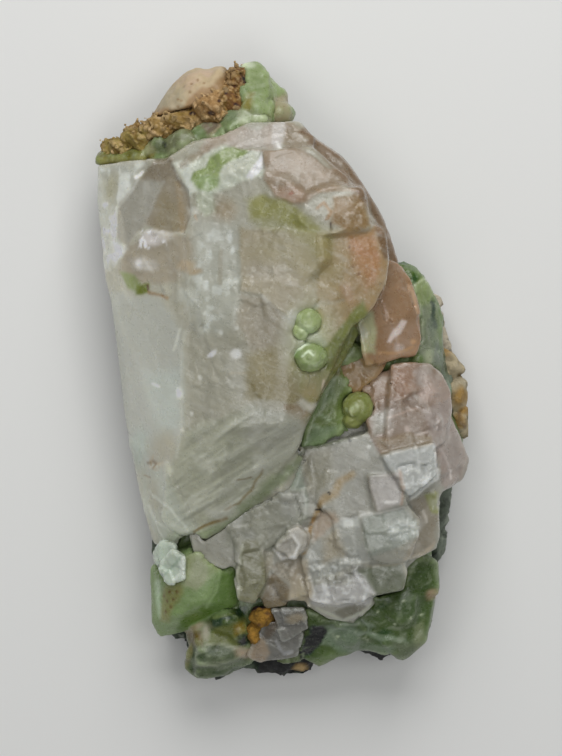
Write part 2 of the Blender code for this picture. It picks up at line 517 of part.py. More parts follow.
def centre_over_origin(objects):
    """Moves the meshes so that the specimen's box is centred over the origin, standing at height 0."""
    corners = [v.co for o in objects for v in o.data.vertices]
    low = Vector(map(min, zip(*corners)))
    high = Vector(map(max, zip(*corners)))
    shift = Vector(((low.x + high.x) / 2, (low.y + high.y) / 2, low.z))
    for obj in objects:
        for vertex in obj.data.vertices:
            vertex.co -= shift


def main():
    clear_scene()
    look = {name: material(name, *values) for name, values in LOOKS.items()}
    balls = [shape for shapes in PREHNITE_BALLS.values() for shape in shapes]
    large, pink, stepped, grey, small = (
        main_calcite(), pink_calcite(), stepped_calcite(), grey_calcite(), small_calcite())
    beige, brown, rust, tan, green = (
        beige_lump(), brown_crust(), limonite_patch(), tan_crust(), prehnite_crust())
    objects = [
        solid("main_calcite", large, look["calcite"], [balls]),
        solid("pink_calcite", pink, look["pink_calcite"], [large]),
        solid("stepped_calcite", stepped, look["calcite"], [large, pink, balls]),
        solid("grey_calcite", grey, look["calcite"], [stepped]),
        solid("small_calcite", small, look["calcite"], [large]),
        solid("beige_lump", beige, look["beige_lump"]),
        solid("brown_crust", brown, look["brown_crust"], [large, beige]),
        solid("limonite_patch", rust, look["limonite"], [stepped, grey]),
        solid("prehnite_crust", green, look["prehnite"],
              [large, pink, stepped, grey, small, beige, brown, rust, balls]),
        solid("tan_crust", tan, look["tan_crust"], [green, stepped, pink]),
        solid("basalt_matrix", basalt_matrix(), look["basalt"]),
    ]
    objects += [solid(name, shapes, look["prehnite"]) for name, shapes in PREHNITE_BALLS.items()]
    centre_over_origin(objects)


main()
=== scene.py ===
"""The looks of the mineral specimen: calcite crystals on green prehnite and dark rock.

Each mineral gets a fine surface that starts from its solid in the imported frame. It is given relief in code,
such as cleavage steps, striations, rounded bubbles and pits, and a colour at each point, which starts as one
tone and is painted over with lists of marks. Lengths are in millimetres until the surface becomes a mesh. Places
are often named by the photo's pixels, written x,y, as its camera saw them from straight above.
"""
import itertools
import math
import random

import bmesh
import bpy
import numpy as np
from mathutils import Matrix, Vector


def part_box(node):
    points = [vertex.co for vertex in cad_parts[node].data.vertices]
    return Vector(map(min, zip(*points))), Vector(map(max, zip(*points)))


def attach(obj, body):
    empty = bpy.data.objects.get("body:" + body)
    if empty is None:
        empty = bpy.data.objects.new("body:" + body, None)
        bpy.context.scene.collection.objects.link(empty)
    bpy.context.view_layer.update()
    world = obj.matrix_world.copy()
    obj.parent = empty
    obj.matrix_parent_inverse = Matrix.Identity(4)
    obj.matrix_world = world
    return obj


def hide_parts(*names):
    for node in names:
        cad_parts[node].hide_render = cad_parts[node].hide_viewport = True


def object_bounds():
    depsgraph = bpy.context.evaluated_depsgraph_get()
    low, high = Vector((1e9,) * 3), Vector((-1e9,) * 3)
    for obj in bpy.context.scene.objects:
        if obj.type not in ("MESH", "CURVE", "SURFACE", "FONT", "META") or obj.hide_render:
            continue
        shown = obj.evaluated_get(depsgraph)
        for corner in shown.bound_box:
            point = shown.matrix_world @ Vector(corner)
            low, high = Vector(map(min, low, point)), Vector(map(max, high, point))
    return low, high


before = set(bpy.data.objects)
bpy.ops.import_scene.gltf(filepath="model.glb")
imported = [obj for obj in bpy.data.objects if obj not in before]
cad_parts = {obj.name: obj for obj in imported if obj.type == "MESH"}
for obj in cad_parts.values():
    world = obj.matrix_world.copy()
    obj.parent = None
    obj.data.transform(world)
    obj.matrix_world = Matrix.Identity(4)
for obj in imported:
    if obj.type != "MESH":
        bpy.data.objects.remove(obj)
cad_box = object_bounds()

MM = 0.001
GAP = 0.34  # between two solids that touch

PX_PER_MM = 5.0
PLAN_CENTRE_PX = (283, 370)  # the photo's pixel at the CAD plan's origin
FRAME_CENTRE_PX = (281, 378)
FRAME_HEIGHT_PX = 756
BALL_PX = (310, 357)  # the lower green ball, which tells where the plan's origin is in the frame
EYE_HEIGHT = 655.0
TRUE_HEIGHT = 25.0  # the height at which PX_PER_MM holds
SENSOR = 36.0
FAR_CLIP = 20  # metres
FLOOR_SIZE = 4  # metres
FLOOR_COLOUR = (0.72, 0.72, 0.7, 1)
FLOOR_ROUGHNESS = 0.6

LIGHT_LEVEL = 0.8  # how much of a colour the photo's light shows
GLARE = 0.055  # what the gloss adds to every colour, taken off the paint
GAIN = 1.12  # what the paint is multiplied by, as cloudy depths swallow some light
SKY = 0.2
SKY_COLOUR = (0.95, 0.97, 1, 1)
LAMPS = {  # place in metres, size and watts
    "window": ((0.02, 0.42, 0.44), 0.45, 2.5),
    "ceiling_left": ((-0.33, 0.06, 0.95), 0.35, 0.75),
    "ceiling_right": ((0.33, 0.06, 0.95), 0.35, 1.1),
    "ceiling_front": ((0.02, -0.3, 0.9), 0.35, 1.15),
}
CLEAVAGE = np.array([(0.955, 0.27, 0.12), (-0.21, 0.93, 0.3), (0.14, -0.16, 0.977)])  # across calcite's planes
BROAD_PASSES = 30  # of smoothing, for the slope that decides how much light a place gets
LIGHT_LIMITS = (0.55, 1.3)
STRAY_SIZE = 4  # of the waves in a mark's edge
STRAY_SEEDS = (3, 4)
DARKEST = 0.012  # paint

LATTICE_FACTORS = (73856093, 19349663, 83492791)
SEED_FACTOR = 2654435761
SCRAMBLES = ((15, 2246822519), (13, 3266489917), (16, 668265263))


# The photo's view of the frame


def corners_in(text):
    """Points written x,y with spaces between them."""
    return [tuple(float(number) for number in corner.split(",")) for corner in text.split()]


def nearer(height):
    """How much smaller a thing at this height is than it looks in the plan."""
    return (EYE_HEIGHT - height) / (EYE_HEIGHT - TRUE_HEIGHT)


def plan_origin():
    low, high = np.array(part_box("prehnite_ball_lower")) / MM
    centre = (low + high) / 2
    right = (BALL_PX[0] - PLAN_CENTRE_PX[0]) / PX_PER_MM
    up = (PLAN_CENTRE_PX[1] - BALL_PX[1]) / PX_PER_MM
    return centre[:2] - nearer(centre[2]) * np.array([right, up])


ORIGIN = plan_origin()


def seen(points):
    """The photo's pixel at which the camera sees each point."""
    plan = (points[:, :2] - ORIGIN) / nearer(points[:, 2])[:, None]
    return plan * (PX_PER_MM, -PX_PER_MM) + PLAN_CENTRE_PX


def place(px, py, height):
    """The point in mm at a pixel and a height."""
    plan = (np.array([px, py]) - PLAN_CENTRE_PX) / (PX_PER_MM, -PX_PER_MM)
    return np.array([*(ORIGIN + plan * nearer(height)), height])


# Noise over points in space, the same on every run


def hashed(cells, seed):
    """A number from 0 to 1 for each cell of a lattice."""
    number = np.uint32(seed * SEED_FACTOR % 2**32)
    for axis, factor in enumerate(LATTICE_FACTORS):
        number = number ^ cells[..., axis].astype(np.int64).astype(np.uint32) * np.uint32(factor)
    for shift, factor in SCRAMBLES:
        number = (number ^ (number >> np.uint32(shift))) * np.uint32(factor)
    return (number ^ (number >> np.uint32(16))) / 2**32


def noise(points, size, seed):
    """Smooth noise from -1 to 1, with features about size wide."""
    spots = points / size
    cells = np.floor(spots)
    part = spots - cells
    part = part * part * (3 - 2 * part)
    total = np.zeros(len(points))
    for corner in itertools.product((0, 1), repeat=3):
        share = np.prod(np.where(corner, part, 1 - part), axis=1)
        total += share * hashed(cells + corner, seed)
    return total * 2 - 1


def rough(points, size, seed, octaves=4):
    """Noise with finer and finer detail."""
    total = sum(noise(points, size / 2**i, seed + 31 * i) / 2**i for i in range(octaves))
    return total / (2 - 2 / 2**octaves)


def ridges(points, size, seed, octaves=3):
    """Noise with sharp crests, from 0 to 1."""
    return sum((1 - abs(noise(points, size / 2**i, seed + 17 * i))) ** 2 / 2**i for i in range(octaves)) / 1.75


def bubbles(points, size, seed):
    """For each point the distance to its bubble's centre and to the next one's, and its bubble's own number."""
    spots = points / size
    cells = np.floor(spots)
    first = np.full(len(points), 9.0)
    second = first.copy()
    own = np.zeros(len(points))
    for step in itertools.product((-1, 0, 1), repeat=3):
        cell = cells + step
        centre = cell + np.stack([hashed(cell, seed + i) for i in range(3)], axis=1)
        away = np.linalg.norm(spots - centre, axis=1)
        nearest = away < first
        second = np.where(nearest, first, np.minimum(second, away))
        own = np.where(nearest, hashed(cell, seed + 7), own)
        first = np.where(nearest, away, first)
    return first, second, own


def blocks(points, size, seed, tilt=1.0, edge=0.12, regular=0.25):
    """Relief and shade of cleavage blocks, each with its own height and slope. Both are from about -1 to 1."""
    spots = points @ CLEAVAGE.T / size
    cells = np.floor(spots)
    first = np.full(len(points), 9.0)
    second = first.copy()
    values = np.zeros((4, len(points)))  # this block's height and shade, then the next one's
    for step in itertools.product((-1, 0, 1), repeat=3):
        cell = cells + step
        jitter = np.stack([hashed(cell, seed + i) for i in range(3)], axis=1)
        off = spots - cell - regular - (1 - 2 * regular) * jitter
        away = abs(off).max(axis=1)
        slope = np.stack([hashed(cell, seed + 3 + i) for i in range(3)], axis=1) * 2 - 1
        height = hashed(cell, seed + 6) * 2 - 1 + tilt * (off * slope).sum(axis=1)
        shade = hashed(cell, seed + 7) * 2 - 1
        nearest = away < first
        runner_up = ~nearest & (away < second)
        values[2:] = np.where(nearest, values[:2], np.where(runner_up, (height, shade), values[2:]))
        second = np.where(nearest, first, np.where(runner_up, away, second))
        values[:2] = np.where(nearest, (height, shade), values[:2])
        first = np.where(nearest, away, first)
    own = 0.5 + 0.5 * smoothstep(0, edge, second - first)
    return values[:2] * own + values[2:] * (1 - own)


def smoothstep(low, high, values):
    share = np.clip((values - low) / (high - low), 0, 1)
    return share * share * (3 - 2 * share)


# Colours, as tones read from the photo


def linear(value):
    value = value / 255
    return value / 12.92 if value < 0.04045 else ((value + 0.055) / 1.055) ** 2.4


def tone(red, green, blue):
    """The surface colour that looks like this tone in the photo's light."""
    return np.array([linear(v) / LIGHT_LEVEL for v in (red, green, blue)])


def light_on(normals):
    """How much light falls on surfaces with these normals, as a share of what falls on the floor."""
    normals = np.vstack([normals, (0, 0, 1)])
    light = SKY * math.pi * (0.5 + 0.5 * normals[:, 2])
    for where, _, watts in LAMPS.values():
        away = np.linalg.norm(where)
        light += watts / (math.pi * away**2) * np.maximum(normals @ (np.array(where) / away), 0)
    return light[:-1] / light[-1]


class Skin:
    """A mineral's fine surface. Points are in mm."""

    def __init__(self, node, voxel, smoothing=0, colour=(0.5, 0.5, 0.5), extra=None, finer=None, closed=0.0):
        """Where its normal's Z is over finer, the surface has points twice as close. Cracks narrower than twice
        closed are filled."""
        self.node = node
        obj = bpy.data.objects.new("raw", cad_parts[node].data.copy())
        bpy.context.scene.collection.objects.link(obj)
        if extra:
            extra(obj.data)
        for shift in ((closed, -closed) if closed else (0.0,)):
            remesh = obj.modifiers.new("remesh", "REMESH")
            remesh.mode = "VOXEL"
            remesh.voxel_size = voxel * MM
            grow = obj.modifiers.new("grow", "DISPLACE")
            grow.mid_level = 0
            grow.strength = shift * MM
        if smoothing:
            smooth = obj.modifiers.new("smooth", "SMOOTH")
            smooth.iterations = smoothing
        graph = bpy.context.evaluated_depsgraph_get()
        self.mesh = bpy.data.meshes.new_from_object(obj.evaluated_get(graph))
        bpy.data.objects.remove(obj, do_unlink=True)
        if finer is not None:
            self.subdivide(finer)
        count = len(self.mesh.vertices)
        self.points = np.empty(count * 3)
        self.mesh.vertices.foreach_get("co", self.points)
        self.points = self.points.reshape(-1, 3) / MM
        self.start = self.points.copy()
        edges = np.empty(len(self.mesh.edges) * 2, dtype=np.int64)
        self.mesh.edges.foreach_get("vertices", edges)
        self.edges = edges.reshape(-1, 2)
        self.find_normals()
        broad = self.normals.copy()
        for _ in range(BROAD_PASSES):
            broad = np.stack([self.around(broad[:, i]) for i in range(3)], axis=1)
        self.light = np.clip(light_on(broad / np.linalg.norm(broad, axis=1)[:, None]), *LIGHT_LIMITS)
        self.seen = seen(self.points)
        self.stray = np.stack([self.rough(STRAY_SIZE, seed, 3) for seed in STRAY_SEEDS], axis=1)
        self.paint = np.tile(tone(*colour), (count, 1))

    def subdivide(self, finer):
        shape = bmesh.new()
        shape.from_mesh(self.mesh)
        edges = {edge for face in shape.faces if face.normal.z > finer for edge in face.edges}
        bmesh.ops.subdivide_edges(shape, edges=list(edges), cuts=1, use_grid_fill=True)
        shape.to_mesh(self.mesh)
        shape.free()

    def find_normals(self):
        self.mesh.vertices.foreach_set("co", (self.points * MM).ravel())
        self.mesh.update()
        normals = np.empty(len(self.points) * 3)
        self.mesh.vertex_normals.foreach_get("vector", normals)
        self.normals = normals.reshape(-1, 3)

    def push(self, amount):
        """Moves each point out by its amount in mm."""
        self.points += self.normals * np.reshape(amount, (-1, 1))

    def rough(self, size, seed, octaves=4):
        return rough(self.start, size, seed, octaves)

    def blocks(self, size, seed, tilt, edge):
        return blocks(self.start, size, seed, tilt, edge)

    def botryoidal(self, size, height, seed, share=1.0):
        """Rounded bubbles, grown side by side."""
        first, _, own = bubbles(self.start, size, seed)
        self.push(height * (0.35 + 0.65 * own) * (1 - np.clip(first, 0, 1) ** 2) * share - 0.4 * height * share)

    def facing_up(self, low, high):
        return smoothstep(low, high, self.normals[:, 2])

    def below(self, top, bottom):
        """From 0 above the height top to 1 under bottom."""
        return smoothstep(top, bottom, self.start[:, 2])

    # How much each point belongs to a part of the photo, from 0 to 1. Lengths are in the photo's pixels,
    # soft is the width of the edge, and wander is how far the edge strays from its line

    def spot(self, centre, across, along=None, turn=0, soft=0.6, wander=5.0):
        """An oval of half-sizes across and along, turned clockwise by turn degrees."""
        along = across if along is None else along
        away = self.seen - centre + wander * self.stray
        angle = math.radians(turn)
        x = away[:, 0] * math.cos(angle) + away[:, 1] * math.sin(angle)
        y = away[:, 1] * math.cos(angle) - away[:, 0] * math.sin(angle)
        reach = np.hypot(x / across, y / along)
        return 1 - smoothstep(1 - soft, 1 + soft, reach)

    def segments(self, corners, wander):
        where = self.seen + wander * self.stray
        for start, end in zip(corners, corners[1:]):
            arm = np.subtract(end, start)
            share = np.clip((where - start) @ arm / (arm @ arm), 0, 1)
            yield where, start, end, np.hypot(*(where - start - share[:, None] * arm).T)

    def line(self, corners, width, soft=1.5, wander=2.0):
        near = np.min([away for *_, away in self.segments(corners_in(corners), wander)], axis=0)
        return 1 - smoothstep(width / 2 - soft / 2, width / 2 + soft, near)

    def area(self, corners, soft=4.0, wander=4.0):
        corners = corners_in(corners)
        near = np.full(len(self.seen), np.inf)
        inside = np.zeros(len(self.seen), dtype=bool)
        for where, (x1, y1), (x2, y2), away in self.segments([*corners, corners[0]], wander):
            near = np.minimum(near, away)
            if y1 != y2:
                crosses = (where[:, 1] < y1) != (where[:, 1] < y2)
                inside ^= crosses & (where[:, 0] < x1 + (where[:, 1] - y1) * (x2 - x1) / (y2 - y1))
        return smoothstep(-soft, soft, np.where(inside, near, -near))

    def tint(self, colour, share):
        """colour is a tone, or a colour for each point."""
        colour = tone(*colour) if isinstance(colour, tuple) else colour
        self.paint += (colour - self.paint) * np.reshape(share, (-1, 1))

    def fill(self, corners, colour, share=0.9, soft=4.0, wander=4.0):
        self.tint(colour, share * self.area(corners, soft, wander))

    def stroke(self, corners, colour, width, share=0.9, soft=1.5, wander=2.0):
        self.tint(colour, share * self.line(corners, width, soft, wander))

    def mottle(self, corners, colour, size, seed, share=0.8, soft=4.0):
        """Clouds of a colour, about size mm wide, in an area."""
        clouds = smoothstep(-0.05, 0.3, self.rough(size, seed))
        self.tint(colour, share * clouds * self.area(corners, soft))

    def dab(self, centres, colour, across, along=None, turn=0, share=0.9, soft=0.6, wander=4.0):
        for centre in corners_in(centres):
            self.tint(colour, share * self.spot(centre, across, along, turn, soft, wander))

    def marks(self, *lists):
        """Paints lists of marks in their order. A mark names a method of this class, its tone and numbers, and
        after @ its corners. A / starts one more mark of the same sort. An indented line goes on with the last."""
        for mark in filter(None, "".join(lists).replace("\n    ", " ").split("\n")):
            look, shapes = mark.split(" @ ")
            kind, colour, *numbers = look.split()
            for corners in shapes.split(" / "):
                getattr(self, kind)(corners, corners_in(colour)[0], *map(float, numbers))

    def clouds(self, colour, share, size, seed, low, high, octaves=4):
        """Clouds of a colour all over, where noise from -1 to 1 rises from low to high."""
        self.tint(colour, share * smoothstep(low, high, self.rough(size, seed, octaves)))

    def lighten(self, amount):
        """Makes the paint lighter or darker by a share."""
        self.paint *= 1 + np.reshape(amount, (-1, 1))

    # Painted highlight: lightens the colour along crests, where the surface bends outward
    def crests(self, colour, low, high, share, passes=1):
        self.tint(colour, share * smoothstep(low, high, self.bends(passes)))

    # Painted shade: darkens the colour in creases and hollows, where the surface bends inward
    def cracks(self, darker, low, high, share, passes=1):
        self.tint(self.paint * darker, share * smoothstep(-low, -high, self.bends(passes)))

    def around(self, values):
        """The mean of each point's neighbours."""
        a, b = self.edges.T
        count = len(self.points)
        degree = np.bincount(a, minlength=count) + np.bincount(b, minlength=count)
        return (np.bincount(a, values[b], count) + np.bincount(b, values[a], count)) / np.maximum(degree, 1)

    def bends(self, passes=1):
        """How sharply the surface bends at each point: above 0 on crests, below 0 in cracks."""
        middle = np.stack([self.around(self.points[:, i]) for i in range(3)], axis=1)
        bend = ((self.points - middle) * self.normals).sum(axis=1)
        for _ in range(passes):
            bend = (bend + self.around(bend)) / 2
        return bend

    def show(self, material, sharp=180, glare=GLARE, gain=GAIN, evened=0.5):
        """Makes the object that stands for the node. glare is taken off the paint, gain multiplies it, and evened
        is how far it makes up for dim slopes."""
        self.paint = np.maximum(self.paint - glare, DARKEST) * gain / self.light[:, None] ** evened
        low, high = np.array(cad_box) / MM
        self.points = np.clip(self.points, low, high)
        self.find_normals()
        colours = self.mesh.attributes.new("paint", "FLOAT_COLOR", "POINT")
        rgba = np.concatenate([np.clip(self.paint, 0, 1), np.ones((len(self.points), 1))], axis=1)
        colours.data.foreach_set("color", rgba.ravel())
        self.mesh.materials.clear()
        self.mesh.materials.append(material)
        self.mesh.polygons.foreach_set("use_smooth", np.ones(len(self.mesh.polygons), dtype=bool))
        if sharp < 180:
            self.mesh.set_sharp_from_angle(angle=math.radians(sharp))
        piece = bpy.data.objects.new("skin_" + self.node, self.mesh)
        bpy.context.scene.collection.objects.link(piece)
        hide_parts(self.node)
        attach(piece, "root")
        return piece


# Materials


def add(tree, kind, inputs=None, **settings):
    """A shader node. An input is a value, or another node's output."""
    node = tree.nodes.new("ShaderNode" + kind)
    for key, value in settings.items():
        setattr(node, key, value)
    for socket, value in (inputs or {}).items():
        if isinstance(value, bpy.types.NodeSocket):
            tree.links.new(value, node.inputs[socket])
        else:
            node.inputs[socket].default_value = value
    return node


def blend_colours(tree, share, first, second, how="MIX"):
    node = add(tree, "Mix", {0: share, 6: first, 7: second}, data_type="RGBA", blend_type=how)
    return node.outputs[2]


def ramp(tree, value, low, high, to_low=0.0, to_high=1.0):
    node = add(tree, "MapRange", {"Value": value, "From Min": low, "From Max": high, "To Min": to_low,
                                  "To Max": to_high})
    return node.outputs["Result"]


def new_material(name, **surface):
    """A material that starts from the painted colours. surface names the shader's plain values."""
    material = bpy.data.materials.new(name)
    material.use_nodes = True
    tree = material.node_tree
    shader = tree.nodes["Principled BSDF"]
    for key, value in surface.items():
        shader.inputs[key.replace("_", " ")].default_value = value
    where = add(tree, "TexCoord").outputs["Object"]
    paint = add(tree, "Attribute", attribute_name="paint").outputs["Color"]
    return material, tree, shader, where, paint


def speckle(tree, where, size, detail=4.0, roughness=0.6, distortion=0.0):
    """Noise in a shader, with features about size mm wide."""
    node = add(tree, "TexNoise", {"Vector": where, "Scale": 1 / (size * MM), "Detail": detail,
                                  "Roughness": roughness, "Distortion": distortion})
    return node.outputs["Fac"]


def bump(tree, height, depth, below=None):
    """A bump of about depth mm."""
    inputs = {"Height": height, "Distance": depth * MM, "Strength": 1.0}
    if below is not None:
        inputs["Normal"] = below
    return add(tree, "Bump", inputs).outputs["Normal"]


ABSORPTION = 14.0  # for each metre


def crystal_material(name, veil, tint_radius, clear, absorbed):
    """Calcite: cloudy depth, faint cleavage cracks and a glassy skin that is dulled in places."""
    material, tree, shader, where, paint = new_material(
        name, Subsurface_Weight=0.5, Subsurface_Radius=tint_radius, Subsurface_Scale=0.0024,
        Transmission_Weight=clear, IOR=1.5, Coat_Weight=0.45, Coat_Roughness=0.09)
    cloud_shade = (0.82, 0.8, 0.74, 1)
    cloud = speckle(tree, where, 6, 5, 0.6, 0.8)
    fine = speckle(tree, where, 0.7, 4, 0.65)
    tilted = add(tree, "Mapping", {"Vector": where, "Rotation": (0.25, 0.1, 0.5)}).outputs["Vector"]
    long = add(tree, "VectorMath", {0: tilted, 1: (0.25, 1.0, 0.6)}, operation="MULTIPLY").outputs["Vector"]
    threads = speckle(tree, long, 1.3, 5, 0.6, 0.4)
    colour = blend_colours(tree, ramp(tree, cloud, 0.5, 0.3, 0.0, 0.3), paint, cloud_shade, "MULTIPLY")
    colour = blend_colours(tree, ramp(tree, threads, 0.52, 0.8, 0.0, 0.3), colour, veil)
    colour = blend_colours(tree, ramp(tree, fine, 0.54, 0.75, 0.0, 0.25), colour, veil)
    tree.links.new(colour, shader.inputs["Base Color"])
    gloss = ramp(tree, speckle(tree, where, 2.2, 5, 0.7), 0.35, 0.7, 0.2, 0.55)
    tree.links.new(gloss, shader.inputs["Roughness"])
    low = bump(tree, speckle(tree, where, 1.8, 5, 0.6), 0.1)
    skin = bump(tree, threads, 0.08, low)
    tree.links.new(skin, shader.inputs["Normal"])
    grains = add(tree, "TexVoronoi", {"Vector": where, "Scale": 1 / (0.7 * MM)}).outputs["Color"]
    tilt = add(tree, "VectorMath", {0: grains, 1: (0.5, 0.5, 0.5)}, operation="SUBTRACT").outputs["Vector"]
    patches = ramp(tree, speckle(tree, where, 5, 3, 0.6), 0.45, 0.62, 0.05, 0.7)
    tilt = add(tree, "VectorMath", {0: tilt, 3: patches}, operation="SCALE").outputs["Vector"]
    facets = add(tree, "VectorMath", {0: skin, 1: tilt}, operation="ADD").outputs["Vector"]
    facets = add(tree, "VectorMath", {0: facets}, operation="NORMALIZE").outputs["Vector"]
    tree.links.new(facets, shader.inputs["Coat Normal"])
    depth = add(tree, "VolumeAbsorption", {"Color": absorbed, "Density": ABSORPTION})
    tree.links.new(depth.outputs["Volume"], tree.nodes["Material Output"].inputs["Volume"])
    return material


def prehnite_material():
    """Prehnite: waxy and a little clear, with paler frost on its grain boundaries."""
    material, tree, shader, where, paint = new_material(
        "prehnite", Subsurface_Weight=0.25, Subsurface_Radius=(0.8, 1.0, 0.7), Subsurface_Scale=0.0012,
        Transmission_Weight=0.1, IOR=1.55, Coat_Weight=0.1, Coat_Roughness=0.25)
    deep, moss, frost = (0.64, 0.71, 0.52, 1), (0.36, 0.44, 0.25, 1), (0.46, 0.5, 0.4, 1)
    cloud = speckle(tree, where, 2.6, 5, 0.6, 0.5)
    fine = speckle(tree, where, 0.6, 4, 0.65)
    colour = blend_colours(tree, ramp(tree, cloud, 0.5, 0.28, 0, 0.55), paint, deep, "MULTIPLY")
    colour = blend_colours(tree, ramp(tree, cloud, 0.56, 0.8, 0, 0.25), colour, moss)
    colour = blend_colours(tree, ramp(tree, fine, 0.55, 0.8, 0, 0.35), colour, frost)
    tree.links.new(colour, shader.inputs["Base Color"])
    gloss = ramp(tree, speckle(tree, where, 1.2, 4, 0.7), 0.35, 0.7, 0.22, 0.55)
    tree.links.new(gloss, shader.inputs["Roughness"])
    low = bump(tree, speckle(tree, where, 1.1, 4, 0.6), 0.12)
    tree.links.new(bump(tree, fine, 0.05, low), shader.inputs["Normal"])
    return material


def earthy_material(name, grain, depth, dull, darker, dust, dust_share=0.3):
    """Rock, rind, rust and crust: rough, grainy and mottled. grain and depth are in mm."""
    material, tree, shader, where, paint = new_material(name, IOR=1.5)
    mottle = speckle(tree, where, grain * 3, 6, 0.65)
    grains = add(tree, "TexVoronoi", {"Vector": where, "Scale": 1 / (grain * MM)})
    colour = blend_colours(tree, ramp(tree, mottle, 0.55, 0.3), paint, (darker, darker, darker, 1), "MULTIPLY")
    colour = blend_colours(tree, ramp(tree, mottle, 0.52, 0.75, 0, dust_share), colour, dust)
    tree.links.new(colour, shader.inputs["Base Color"])
    tree.links.new(ramp(tree, mottle, 0.3, 0.7, dull - 0.15, min(1, dull + 0.1)), shader.inputs["Roughness"])
    low = bump(tree, speckle(tree, where, grain, 6, 0.7), depth)
    tree.links.new(bump(tree, grains.outputs["Distance"], -depth * 0.6, low), shader.inputs["Normal"])
    return material


# The minerals. A list of marks paints one stretch. After the tone, fill takes share, soft and wander. stroke
# takes width, share, soft and wander. dab takes across, along, turn, share, soft and wander. mottle takes size,
# seed, share and soft. Reliefs and sizes of noise are in mm, and a seed picks the pattern.

SEAM = ("288,492 296,470 304,446", 16, 5, 0)  # where the main crystal meets the stepped cluster


# Left: the frosted strip, the triangular face, the green inclusion and the long smooth face
LEFT_SIDE = """
fill 167,168,158 @ 90,164 145,164 138,177 119,206 119,235 128,249 111,269 96,267
dab 150,146,122 9 16 10 .7 @ 110,188
mottle 200,202,195 2.6 131 .75 @ 98,166 146,164 138,178 120,206 120,236 128,248 112,268 100,262
fill 140,132,116 .95 2 2 @ 119,206 159,157 172,158 178,180 190,191 192,215 188,230 170,234 154,229 144,223
    128,246 119,235
fill 129,121,106 .85 2 2 @ 141,180 159,156 173,158 174,172 164,182
fill 149,147,137 .9 2.5 2 @ 119,206 140,180 164,181 145,222 128,246 119,235
fill 134,125,102 .6 5 @ 156,205 164,190 186,215 184,231 168,234 152,228
stroke 150,136,112 5 .7 3 @ 178,184 181,205 183,230
stroke 158,154,144 1.2 .5 1.5 1 @ 163,181 152,202 144,224
stroke 222,222,216 2.5 @ 137,178 143,173
stroke 182,182,174 1.5 .6 @ 119,207 139,180
fill 146,138,122 .85 @ 126,248 160,234 190,236 196,262 176,282 140,284 118,272
dab 186,182,178 10 8 0 .9 .35 @ 153,238
mottle 216,215,216 .9 133 .9 2 @ 141,230 163,230 166,246 142,250
dab 184,180,172 8 5 10 .7 @ 164,236
fill 196,197,192 .8 @ 114,239 122,244 129,249 118,258
dab 176,173,166 12 6 10 .8 @ 147,264
dab 204,202,198 4 4 0 .8 @ 141,263
fill 128,136,96 .95 2 2 @ 121,272 136,274 143,284 138,293 128,287
fill 100,108,46 .95 2 2 @ 138,285 150,283 150,294 136,294
stroke 84,58,24 1.2 .9 1 1 @ 148.5,285 150,294 163,296
stroke 138,108,66 3 .6 @ 150,293 168,298
fill 160,161,152 .95 5 @ 108,292 160,297 186,332 185,420 176,462 150,472 120,440 96,330
stroke 146,148,138 12 .7 8 @ 106,300 116,370 122,432
fill 166,171,163 .8 10 @ 146,372 184,366 184,425 160,440
dab 160,168,158 10 20 10 .8 @ 140,448
dab 150,145,126 13 16 0 .7 @ 164,448
stroke 184,185,174 1.6 .5 2.5 @ 186,332 184,360 184,400 183,430 177,455
dab 204,206,196 3 6 @ 182,394
stroke 186,187,176 2 .7 @ 182,330 176,350
stroke 196,198,192 2 .8 @ 154,383 160,386
stroke 110,90,60 1.6 .8 1.5 2.5 @ 148,463 154,460 157,463 155,467
mottle 150,132,100 1.2 137 .5 @ 142,456 162,454 164,480 146,484
"""

# The crumbly white and green patch, with a painted orange glint
CRUMBLY_PATCH = """
fill 183,187,172 .95 3 @ 173,164 189,160 205,152 222,143 260,150 264,176 226,190 212,196 198,194 192,198 186,184
    181,177
fill 196,199,190 .8 2.5 @ 176,164 188,160 192,172 198,192 192,197 184,180
fill 134,148,98 .97 2 2.5 @ 212,158 225,150 235,146 250,150 243,157 225,166 220,174 219,187 209,192 199,190
    192,182 194,174 207,168
dab 142,160,116 11 8 0 .7 @ 208,184
dab 186,196,170 3 4 0 .7 @ 209,188
fill 212,212,214 .95 1.5 1.5 @ 246,178 257,163 262,153 264,160 262,170 252,180
dab 188,190,176 12 8 -30 .7 @ 237,168
fill 168,174,154 .8 3 @ 198,196 214,192 216,212 205,216 198,210
dab 200,200,190 5 4 0 .8 @ 194,212
stroke 180,146,104 1.2 .6 1 1 @ 196,216 198,221
dab 146,132,108 10 14 0 .7 @ 224,212
"""
